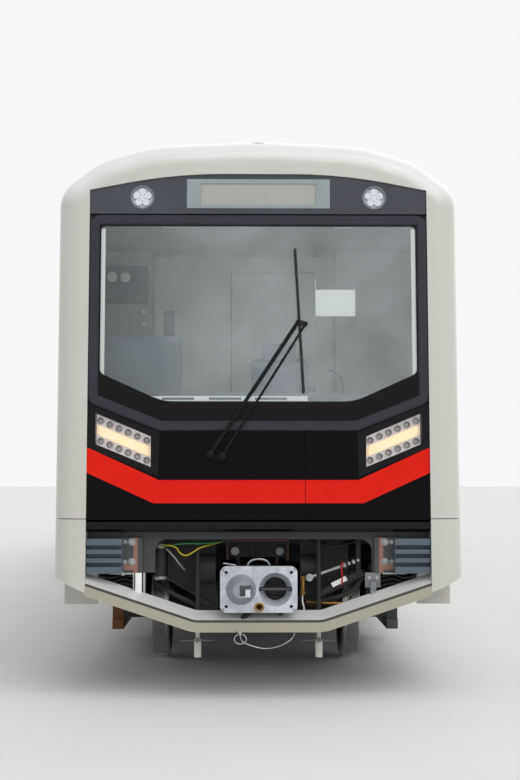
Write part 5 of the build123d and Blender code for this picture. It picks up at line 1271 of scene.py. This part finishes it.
desk += [
    rod("masterLever", (0.36, -8.84, 1.92), (0.36, -8.87, 2.06), 0.013, 16, 0.002, 0.009),
    rod("leverGrip", (0.30, -8.87, 2.06), (0.42, -8.87, 2.06), 0.02, 20, 0.008),
    heightBox("leverPlate", (0.30, 0.42), (-8.92, -8.80), (1.905, 1.93), 0.004),
    pipe("gooseneck", gooseneck, 0.007),
    rod("microphone", (0.55, -8.76, 2.20), (0.53, -8.73, 2.21), 0.014, 16, 0.004),
]
fit(join("deskControls", desk), "black")

# light strips in the ceiling's troughs, the cab's lamp, moulded fields on the console's front
for side, tag in flanks:
    strip = sideBox(f"lightStrip{tag}", side, (0.575, 0.665), (-7.25, 9.25), (3.240, 3.252), 0.003)
    fit(strip, "strip")
fit(heightBox("cabLamp", (-0.55, 0.55), (-9.12, -8.98), (3.215, 3.232), 0.004), "lamp")
fields = [
    heightBox("consoleField", (-1.05, -0.57), (-9.338, -9.325), (1.93, 2.36), 0.012),
    heightBox("consoleField", (-0.50, 0.98), (-9.338, -9.325), (1.86, 1.985), 0.012),
]
hand(join("consoleFields", fields), finishes["console_blue"])

# pole in the first vestibule
fit(post("vestibulePole", -0.206, -5.0, (1.131, 3.24), 0.019, 20), "black")

# driver's seat: pedestal, pan and back shell, with padded cushions
seat = {"x": 0.18, "y": -8.33, "floor": 1.131, "lean": 8.5}


def cushion(name, size, pull, place):
    # a stuffed block: crowned faces, sides drawn in between the corners, sewn channels
    crown, channel, roundEdge = 0.35, 0.12, 0.06
    clear()
    bpy.ops.mesh.primitive_cube_add(size=2)
    piece = bpy.context.object
    bpy.ops.object.mode_set(mode="EDIT")
    bpy.ops.mesh.select_all(action="SELECT")
    bpy.ops.mesh.subdivide(number_cuts=9)
    bpy.ops.object.mode_set(mode="OBJECT")
    for point in piece.data.vertices:
        u, w, t = point.co
        swell = (1 - u * u) * (1 - w * w)
        seam = channel * math.exp(-((abs(u) - 0.55) / 0.06) ** 2) * (1 - w * w)
        point.co = (
            u * (1 - pull * (1 - w * w)) * (1 - roundEdge * t * t),
            w * (1 - pull * (1 - u * u)) * (1 - roundEdge * t * t),
            t * (1 + crown * swell - seam - 0.25 * (u ** 6 + w ** 6) / 2),
        )
    piece.scale = [part / 2 for part in size]
    settle(piece, name)
    piece.data.transform(place)
    use(piece, "SUBSURF", levels=1, render_levels=1)
    return shade(piece, 60)


backPlace = turned((seat["x"], -8.118, 2.02), 90 - seat["lean"], "X")
headPlace = turned((seat["x"], -8.050, 2.385), 90 - seat["lean"], "X")
pads = [
    cushion("seatCushion", (0.48, 0.46, 0.085), 0.03, Matrix.Translation((seat["x"], seat["y"], up(1.60)))),
    cushion("backCushion", (0.45, 0.60, 0.075), 0.04, backPlace),
    cushion("headCushion", (0.27, 0.15, 0.070), 0.03, headPlace),
]
for pad in pads:
    hand(pad, finishes["driver_fabric"])
    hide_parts("driver_seat")
x, y, low = seat["x"], seat["y"], seat["floor"]
frameParts = [
    post("seatFoot", x, y, (low, low + 0.028), 0.15, 40, 0.006),
    heightBox("seatPan", (x - 0.22, x + 0.22), (-8.54, -8.12), (1.525, 1.558), 0.012),
    heightBox("seatSlide", (x - 0.17, x + 0.17), (-8.50, -8.16), (1.495, 1.525), 0.006),
    rod("seatLever", (x + 0.20, -8.48, 1.51), (x + 0.24, -8.54, 1.50), 0.009, 12),
    box("seatShell", (-0.21, -0.33, -0.058), (0.21, 0.33, -0.038), 0.012),
]
frameParts[-1].data.transform(backPlace)
for step in range(9):
    fold = low + 0.03 + 0.037 * step
    frameParts.append(post("seatBellows", x, y, (fold, fold + 0.034), 0.085, 32, 0.012))
for side in (-1, 1):
    postX = x + side * 0.06
    arm = sorted((x + side * 0.198, x + side * 0.180))
    frameParts.append(rod("headPost", (postX, -8.052, 2.30), (postX, -8.046, 2.36), 0.008, 12))
    frameParts.append(heightBox("backArm", arm, (-8.16, -8.07), (1.52, 1.80), 0.006))
seatFrame = fit(join("seatFrame", frameParts), "black")
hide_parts("driver_seat")
print("cab dressed")

# wiper: caps over the spindles, thicker roots of the arms, rings at the foot
wiper = {
    "Arm": {"foot": (-0.323, 0.504), "top": (0.266, 1.400), "body": "wiper_arm", "root": 0.017},
    "Link": {"foot": (-0.244, 0.491), "top": (0.316, 1.386), "body": "wiper_link", "root": 0.012},
}
capRise = (0.031, 0.045, 0.053)  # foot and top of the cap and top of its nut, in front of the mask
for name, bar in wiper.items():
    foot = Vector(bar["foot"])
    reach = Vector(bar["top"]) - foot
    low, middle, high = (onMask(*foot, out) for out in capRise)
    parts = [rodBetween("cap", low, middle, 0.027, 32, 0.006), rodBetween("nut", middle, high, 0.011, 6)]
    for first, last, radius in ((0.02, 0.13, bar["root"]), (0.13, 0.16, bar["root"] * 0.75)):
        ends = [onMask(*(foot + reach * share), 0.024) for share in (first, last)]
        parts.append(rodBetween("root", *ends, radius, 12, 0.003))
    hand(join(f"wiperCap{name}", parts), finishes["wiper_black"], bar["body"])
feet = [bar["foot"] for bar in wiper.values()]
ends = [[onMask(*foot, out) for out in (0.001, 0.012)] for foot in feet]
footRings = [rodBetween("footRing", *pair, 0.036, 36, 0.004) for pair in ends]
hand(join("wiperFoot", footRings), finishes["wiper_black"])
blade = {"high": Vector((0.247, 1.893)), "low": Vector((0.301, 0.926)), "body": "wiper_blade"}


def alongBlade(name, first, last, out, radius, sides):
    # a bar along the blade between two shares of its length
    reach = blade["low"] - blade["high"]
    ends = [onMask(*(blade["high"] + reach * share), out) for share in (first, last)]
    return rodBetween(name, *ends, radius, sides)


claws = [(share - 0.012, share + 0.012) for share in (0.12, 0.36, 0.64, 0.88)]
bladeParts = [alongBlade("claw", *claw, 0.0165, 0.0085, 10) for claw in claws]
bladeParts.append(alongBlade("bridge", 0.3, 0.7, 0.0185, 0.006, 10))
bladeParts.append(alongBlade("lip", 0.004, 0.996, 0.003, 0.0035, 8))
hand(join("bladeTrim", bladeParts), finishes["rubber_black"], blade["body"])
print("wiper dressed")


def gasket(name, side, y, half, height, corner, radius, reach=1.3595):
    # closed rubber line round an opening in a side wall
    points = []
    for turn, (along, rise) in enumerate(((1, 1), (-1, 1), (-1, -1), (1, -1))):
        centreY = y + along * (half - corner)
        centreZ = (height[1] if rise > 0 else height[0]) - rise * corner
        for step in range(7):
            angle = math.radians(90 * turn + 15 * step)
            spot = (centreY + corner * math.cos(angle), centreZ + corner * math.sin(angle))
            points.append((side * reach, *spot))
    return asMesh(roundLine(name, points, radius, "POLY"))


# sides: window rubbers, door surrounds, sills, lamps, handles, steps, latches
walls = {
    "windows": [(-6.65, 0.45), (-3.35, 0.95), (-1.15, 0.95), (2.75, 0.95), (4.95, 0.95), (8.45, 0.65)],
    "doors": (-5.3, 0.8, 6.9),
    "cabDoor": -8.147,
    "grabBars": (-8.515, -7.755),
    "steps": (0.60, 0.80),
    "latchRows": (0.59, 0.905),
}
grabBar = [(1.358, 1.25), (1.392, 1.27), (1.392, 1.60), (1.392, 2.05), (1.358, 2.07)]
for side, tag in flanks:
    rubbers = [gasket("rubber", side, y, half, (1.95, 2.96), 0.09, 0.008) for y, half in walls["windows"]]
    metalwork = []
    lamps = []
    for y in walls["doors"]:
        rubbers.append(gasket("surround", side, y, 0.705, (1.125, 3.095), 0.03, 0.009))
        for leaf in (y - 0.352, y + 0.352):
            rubbers.append(gasket("leafRubber", side, leaf, 0.215, (1.76, 2.90), 0.06, 0.006, 1.353))
        rubbers.append(sideBox("leafSeal", side, (1.338, 1.354), (y - 0.011, y + 0.011), (1.135, 3.085)))
        metalwork.append(sideBox("sill", side, (1.30, 1.384), (y - 0.70, y + 0.70), (1.098, 1.127)))
        for step in range(5):
            low = 1.306 + 0.014 * step
            tread = sideBox("tread", side, (low, low + 0.006), (y - 0.66, y + 0.66), (1.127, 1.131), 0.001)
            metalwork.append(tread)
        lamps.append(crossBar("doorLamp", side, (1.358, 1.372), y, 3.17, 0.024, 24, 0.004))
        metalwork.append(crossBar("lampRing", side, (1.358, 1.364), y, 3.17, 0.032, 24))
        button = sideBox("openButton", side, (1.350, 1.357), (y - 0.10, y - 0.04), (2.05, 2.17), 0.002)
        metalwork.append(button)
    fit(join(f"windowRubbers{tag}", rubbers), "hose")
    fit(join(f"doorLamps{tag}", lamps), "brass")
    for y in walls["grabBars"]:
        metalwork.append(pipe("grabBar", [(side * x, y, height) for x, height in grabBar], 0.009))
        for height in (1.25, 2.07):
            metalwork.append(crossBar("barFoot", side, (1.358, 1.364), y, height, 0.022, 20))
    fit(join(f"sideMetal{tag}", metalwork), "sill")
    handle = [
        gasket("cabRubber", side, walls["cabDoor"], 0.22, (1.95, 2.90), 0.07, 0.007, 1.3535),
        sideBox("handlePlate", side, (1.350, 1.358), (-8.43, -8.37), (1.66, 1.82)),
        rod("handleGrip", (side * 1.372, -8.41, 1.74), (side * 1.372, -8.31, 1.74), 0.008, 12),
        crossBar("handlePin", side, (1.354, 1.372), -8.405, 1.74, 0.010, 12),
    ]
    fit(join(f"cabDoorTrim{tag}", handle), "black", f"cab_door_{tag.lower()}")
    steps = []
    for low in walls["steps"]:
        # a thin black sheet on the wall stands for each step's recess as painted shade
        steps.append(sideBox("stepWellShade", side, (1.350, 1.3555), (-8.37, -7.92), (low, low + 0.11), 0.004))
        steps.append(sideBox("stepEdge", side, (1.350, 1.372), (-8.35, -7.94), (low + 0.005, low + 0.023)))
    fit(join(f"cabSteps{tag}", steps), "black")
    drip = rod(f"dripRail{tag}", (side * 1.361, -8.6, 3.175), (side * 1.361, 9.3, 3.175), 0.008, 10)
    hand(drip, finishes["body_paint"])
    rows = [-8.88 + 0.6 * step for step in range(31)]
    places = [(side * 1.352, y, z) for y in rows if not -8.45 < y < -7.85 for z in walls["latchRows"]]
    fit(boltsAt(f"skirtLatches{tag}", places, (side, 0, 0), 0.009, 0.004), "zinc")
print("sides dressed")

# cases under the floor, as front end, length, half width and foot: lids, ribs, latches, drains and glands
cases = [
    (-4.25, 1.5, 1.22, 0.42),
    (-2.65, 1.1, 1.18, 0.38),
    (-1.45, 1.9, 1.23, 0.35),
    (0.55, 1.3, 1.20, 0.40),
    (1.95, 2.2, 1.23, 0.37),
]
lids = []
latches = []
drains = []
for first, length, half, low in cases:
    ribs = max(2, round(length / 0.35))
    for side in (-1, 1):
        ends = (first + 0.05, first + length - 0.05)
        lids.append(sideBox("lid", side, (half - 0.004, half + 0.012), ends, (low + 0.05, 0.88), 0.006))
        for step in range(ribs):
            y = first + 0.12 + (length - 0.24) * step / (ribs - 1)
            rib = (half + 0.010, half + 0.020)
            lids.append(sideBox("rib", side, rib, (y - 0.012, y + 0.012), (low + 0.12, 0.80), 0.004))
        for share in (0.2, 0.8):
            y = first + length * share
            out = side * (half + 0.016)
            latch = (half + 0.010, half + 0.026)
            rise = (low + 0.06, low + 0.13)
            latches.append(sideBox("latch", side, latch, (y - 0.05, y - 0.02), rise, 0.004))
            latches.append(rod("hinge", (out, y - 0.06, 0.87), (out, y + 0.06, 0.87), 0.011, 12))
    for x in (-0.5, 0.1, 0.6):
        drains.append(post("drain", x, first + length * 0.4 + 0.1 * x, (low + 0.004, low - 0.018), 0.014, 6))
        for gland in (x - 0.09, x + 0.09):
            drains.append(rod("gland", (gland, first + 0.006, 0.62), (gland, first - 0.03, 0.62), 0.018, 12))
fit(join("caseLids", lids), "guard")
fit(join("caseLatches", latches), "zinc")

# pipes that run past the cases: across, radius
underPipes = [(-0.92, 0.016), (-0.84, 0.020), (0.88, 0.016), (0.96, 0.020)]
below = [rod("underPipe", (x, -4.6, 0.965), (x, 4.6, 0.965), radius, 12) for x, radius in underPipes]
clip = heightBox("pipeClip", (-0.026, 0.026), (-0.012, 0.012), (-0.054, 0.007))
below += copies(clip, [(x, -4.4 + 1.1 * step, 0.993) for x, radius in underPipes for step in range(9)])
fit(join("underPipes", below), "black")
fit(join("caseFittings", drains), "brass")
print("underside dressed")

# bogies: axlebox covers with studs and earth leads, dampers, pipes along the frame
bogie = {"axleWay": 1.1, "axle": car["wheelRadius"], "damperWay": 0.42, "studOrbit": 0.078}
for body, centre in (("bogie_front", -6.3), ("bogie_rear", 6.3)):
    covers = []
    studs = []
    soft = []
    for side, way in [(side, way) for side in (-1, 1) for way in (-1, 1)]:
        y, height = centre + bogie["axleWay"] * way, bogie["axle"]
        covers.append(crossBar("axleCover", side, (1.058, 1.084), y, height, 0.100, 40, 0.008))
        covers.append(crossBar("axleBoss", side, (1.084, 1.098), y, height, 0.045, 32, 0.005))
        for step in range(6):
            angle = math.radians(60 * step + 30)
            studY = y + bogie["studOrbit"] * math.cos(angle)
            studZ = height + bogie["studOrbit"] * math.sin(angle)
            studs.append(crossBar("stud", side, (1.082, 1.096), studY, studZ, 0.011, 6, 0.001))
        lead = [(1.098, 0.0, 0.43), (1.125, 0.05, 0.44), (1.115, 0.15, 0.56), (1.062, 0.22, 0.66)]
        soft.append(pipe("earthLead", [(side * x, y - way * back, z) for x, back, z in lead], 0.010))
        y = centre + bogie["damperWay"] * way
        covers.append(post("damperTube", side * 1.10, y, (0.50, 0.72), 0.032, 24, 0.004))
        studs.append(post("damperRod", side * 1.10, y, (0.72, 0.88), 0.014, 16))
        for height, radius in ((0.48, 0.026), (0.89, 0.024)):
            covers.append(crossBar("damperEye", side, (1.055, 1.135), y, height, radius, 20, 0.004))
    for side in (-1, 1):
        for height, radius in ((0.70, 0.010), (0.67, 0.007)):
            ends = [(side * 1.072, centre + 0.9 * way, height) for way in (-1, 1)]
            soft.append(rod("beamPipe", *ends, radius, 10))
        for step in range(5):
            y = centre - 0.8 + 0.4 * step
            ends = (y - 0.012, y + 0.012)
            studs.append(sideBox("pipeClip", side, (1.058, 1.084), ends, (0.655, 0.715), 0.002))
    fit(join(body + "Covers", covers), "guard", body)
    fit(join(body + "Studs", studs), "zinc", body)
    fit(join(body + "Leads", soft), "hose", body)

# an earth wire on the left front collector
lead = [(-1.165, -6.30, 0.405), (-1.10, -6.34, 0.34), (-1.04, -6.36, 0.30), (-0.99, -6.30, 0.24)]
fit(pipe("earthWire", lead, 0.007), "green", "bogie_front")
print("bogies dressed")

# roof: guards and blades of the two fans in each unit, louvres along the units
fan = {"guard": 3.732, "spokes": 3.7285, "hub": 3.685, "blades": 7}
for number, centre in enumerate((-3.3, 4.3)):
    wires = []
    blades = []
    for y in (centre - 0.65, centre + 0.65):
        for ring in range(6):
            wires.append(hoop("guardRing", (0, y, fan["guard"]), 0.05 + 0.044 * ring, 0.0035, 48, 6))
        for step in range(8):
            angle = math.radians(45 * step + 10)
            ends = [(r * math.cos(angle), y + r * math.sin(angle), fan["spokes"]) for r in (0.04, 0.275)]
            wires.append(rod("guardSpoke", *ends, 0.0032, 8, 0.0008))
        fanBlade = box("fanBlade", (0.065, -0.055, -0.003), (0.245, 0.055, 0.003), 0.002)
        fanBlade.data.transform(Matrix.Rotation(math.radians(28), 4, "X"))
        turns = [360 / fan["blades"] * step for step in range(fan["blades"])]
        blades += copies(fanBlade, [turned((0, y, fan["hub"]), turn, "Z") for turn in turns])
    fit(join(f"fanGuards{number}", wires), "guard")
    fit(join(f"fanBlades{number}", blades), "black")
    slat = heightBox("slat", (-0.008, 0.008), (-0.036, 0.036), (3.600, 3.612), 0.002)
    rows = [centre - 1.15 + 0.1 * step for step in range(24)]
    places = [(side * 0.804, y, rise) for side in (-1, 1) for y in rows for rise in (0, 0.035)]
    fit(join(f"unitSlats{number}", copies(slat, places)), "guard")
print("roof dressed")

# rear wall: jumper boxes with leads, grab handles, bolts of the gangway frame
jumperRoute = [
    (1, 9.40, 1.205), (1, 9.42, 1.05), (0.9, 9.52, 0.86),
    (0.75, 9.56, 0.80), (0.62, 9.54, 0.86), (0.55, 9.42, 1.0),
]
handleRoute = [(9.345, 1.55), (9.40, 1.56), (9.40, 1.80), (9.40, 2.03), (9.345, 2.04)]
rear = []
leads = []
handles = []
for side in (-1, 1):
    rear.append(sideBox("jumperBox", side, (0.86, 1.12), (9.345, 9.44), (1.20, 1.50), 0.01))
    rear.append(sideBox("jumperLid", side, (0.88, 1.10), (9.44, 9.452), (1.22, 1.48), 0.004))
    for x in (0.92, 0.99, 1.06):
        leads.append(pipe("jumperLead", [(side * x * share, y, z) for share, y, z in jumperRoute], 0.015))
    handles.append(pipe("rearHandle", [(side * 1.20, y, z) for y, z in handleRoute], 0.010))
fit(join("jumperBoxes", rear), "black")
fit(join("jumperLeads", leads), "hose")
frameBolts = [(side * 0.80, 9.352, 1.2 + 0.2 * step) for side in (-1, 1) for step in range(11)]
handles.append(boltsAt("frameBolts", frameBolts, (0, 1, 0), 0.010, 0.006))
fit(join("rearMetal", handles), "zinc")
print("rear dressed")

# camera, light and ground
view = {"place": (-0.124, -19.10, 1.538), "pitch": 3.04, "yaw": -0.8, "lens": 66.05}
cameraData = bpy.data.cameras.new("camera")
cameraData.lens = view["lens"]
cameraData.sensor_width = 36
camera = bpy.data.objects.new("camera", cameraData)
bpy.context.scene.collection.objects.link(camera)
camera.location = view["place"]
camera.rotation_euler = (math.radians(90 + view["pitch"]), 0, math.radians(view["yaw"]))
bpy.context.scene.camera = camera

# suns: name, strength, softness, turn about X and Z in degrees
suns = [("keySun", 1.3, 50, 44, 30), ("fillSun", 0.55, 70, 58, 150)]
for name, strength, softness, lean, turn in suns:
    sunData = bpy.data.lights.new(name, "SUN")
    sunData.energy = strength
    sunData.angle = math.radians(softness)
    sun = bpy.data.objects.new(name, sunData)
    bpy.context.scene.collection.objects.link(sun)
    sun.rotation_euler = (math.radians(lean), 0, math.radians(turn))

world = bpy.data.worlds.new("studio")
bpy.context.scene.world = world
world.use_nodes = True
airLight = {"seen": (0.93, 0.935, 0.94, 1), "lit": (0.62, 0.63, 0.64, 1)}
path = world.node_tree.nodes.new("ShaderNodeLightPath")
shown = Val(world.node_tree, path.outputs["Is Camera Ray"])
for ray in ("Is Glossy Ray", "Is Transmission Ray"):
    shown = calc("MAXIMUM", shown, Val(world.node_tree, path.outputs[ray]))
airMix = world.node_tree.nodes.new("ShaderNodeMix")
airMix.data_type = "RGBA"
airMix.inputs[6].default_value = airLight["lit"]
airMix.inputs[7].default_value = airLight["seen"]
world.node_tree.links.new(shown.socket, airMix.inputs[0])
world.node_tree.links.new(airMix.outputs[2], world.node_tree.nodes["Background"].inputs["Color"])

clear()
bpy.ops.mesh.primitive_circle_add(vertices=96, radius=90, fill_type="NGON")
ground = settle(bpy.context.object, "ground")
groundFinish = Finish("groundPale", Roughness=0.9, Specular_IOR_Level=0.15)
mottle = groundFinish.noise(0.8, 4)
groundFinish.set(Base_Color=groundFinish.mix(mottle, rgb(224, 224, 222), rgb(232, 232, 230)))
ground.data.materials.append(groundFinish.material)
bpy.context.scene.view_settings.view_transform = "Standard"
print("camera, light and ground set")
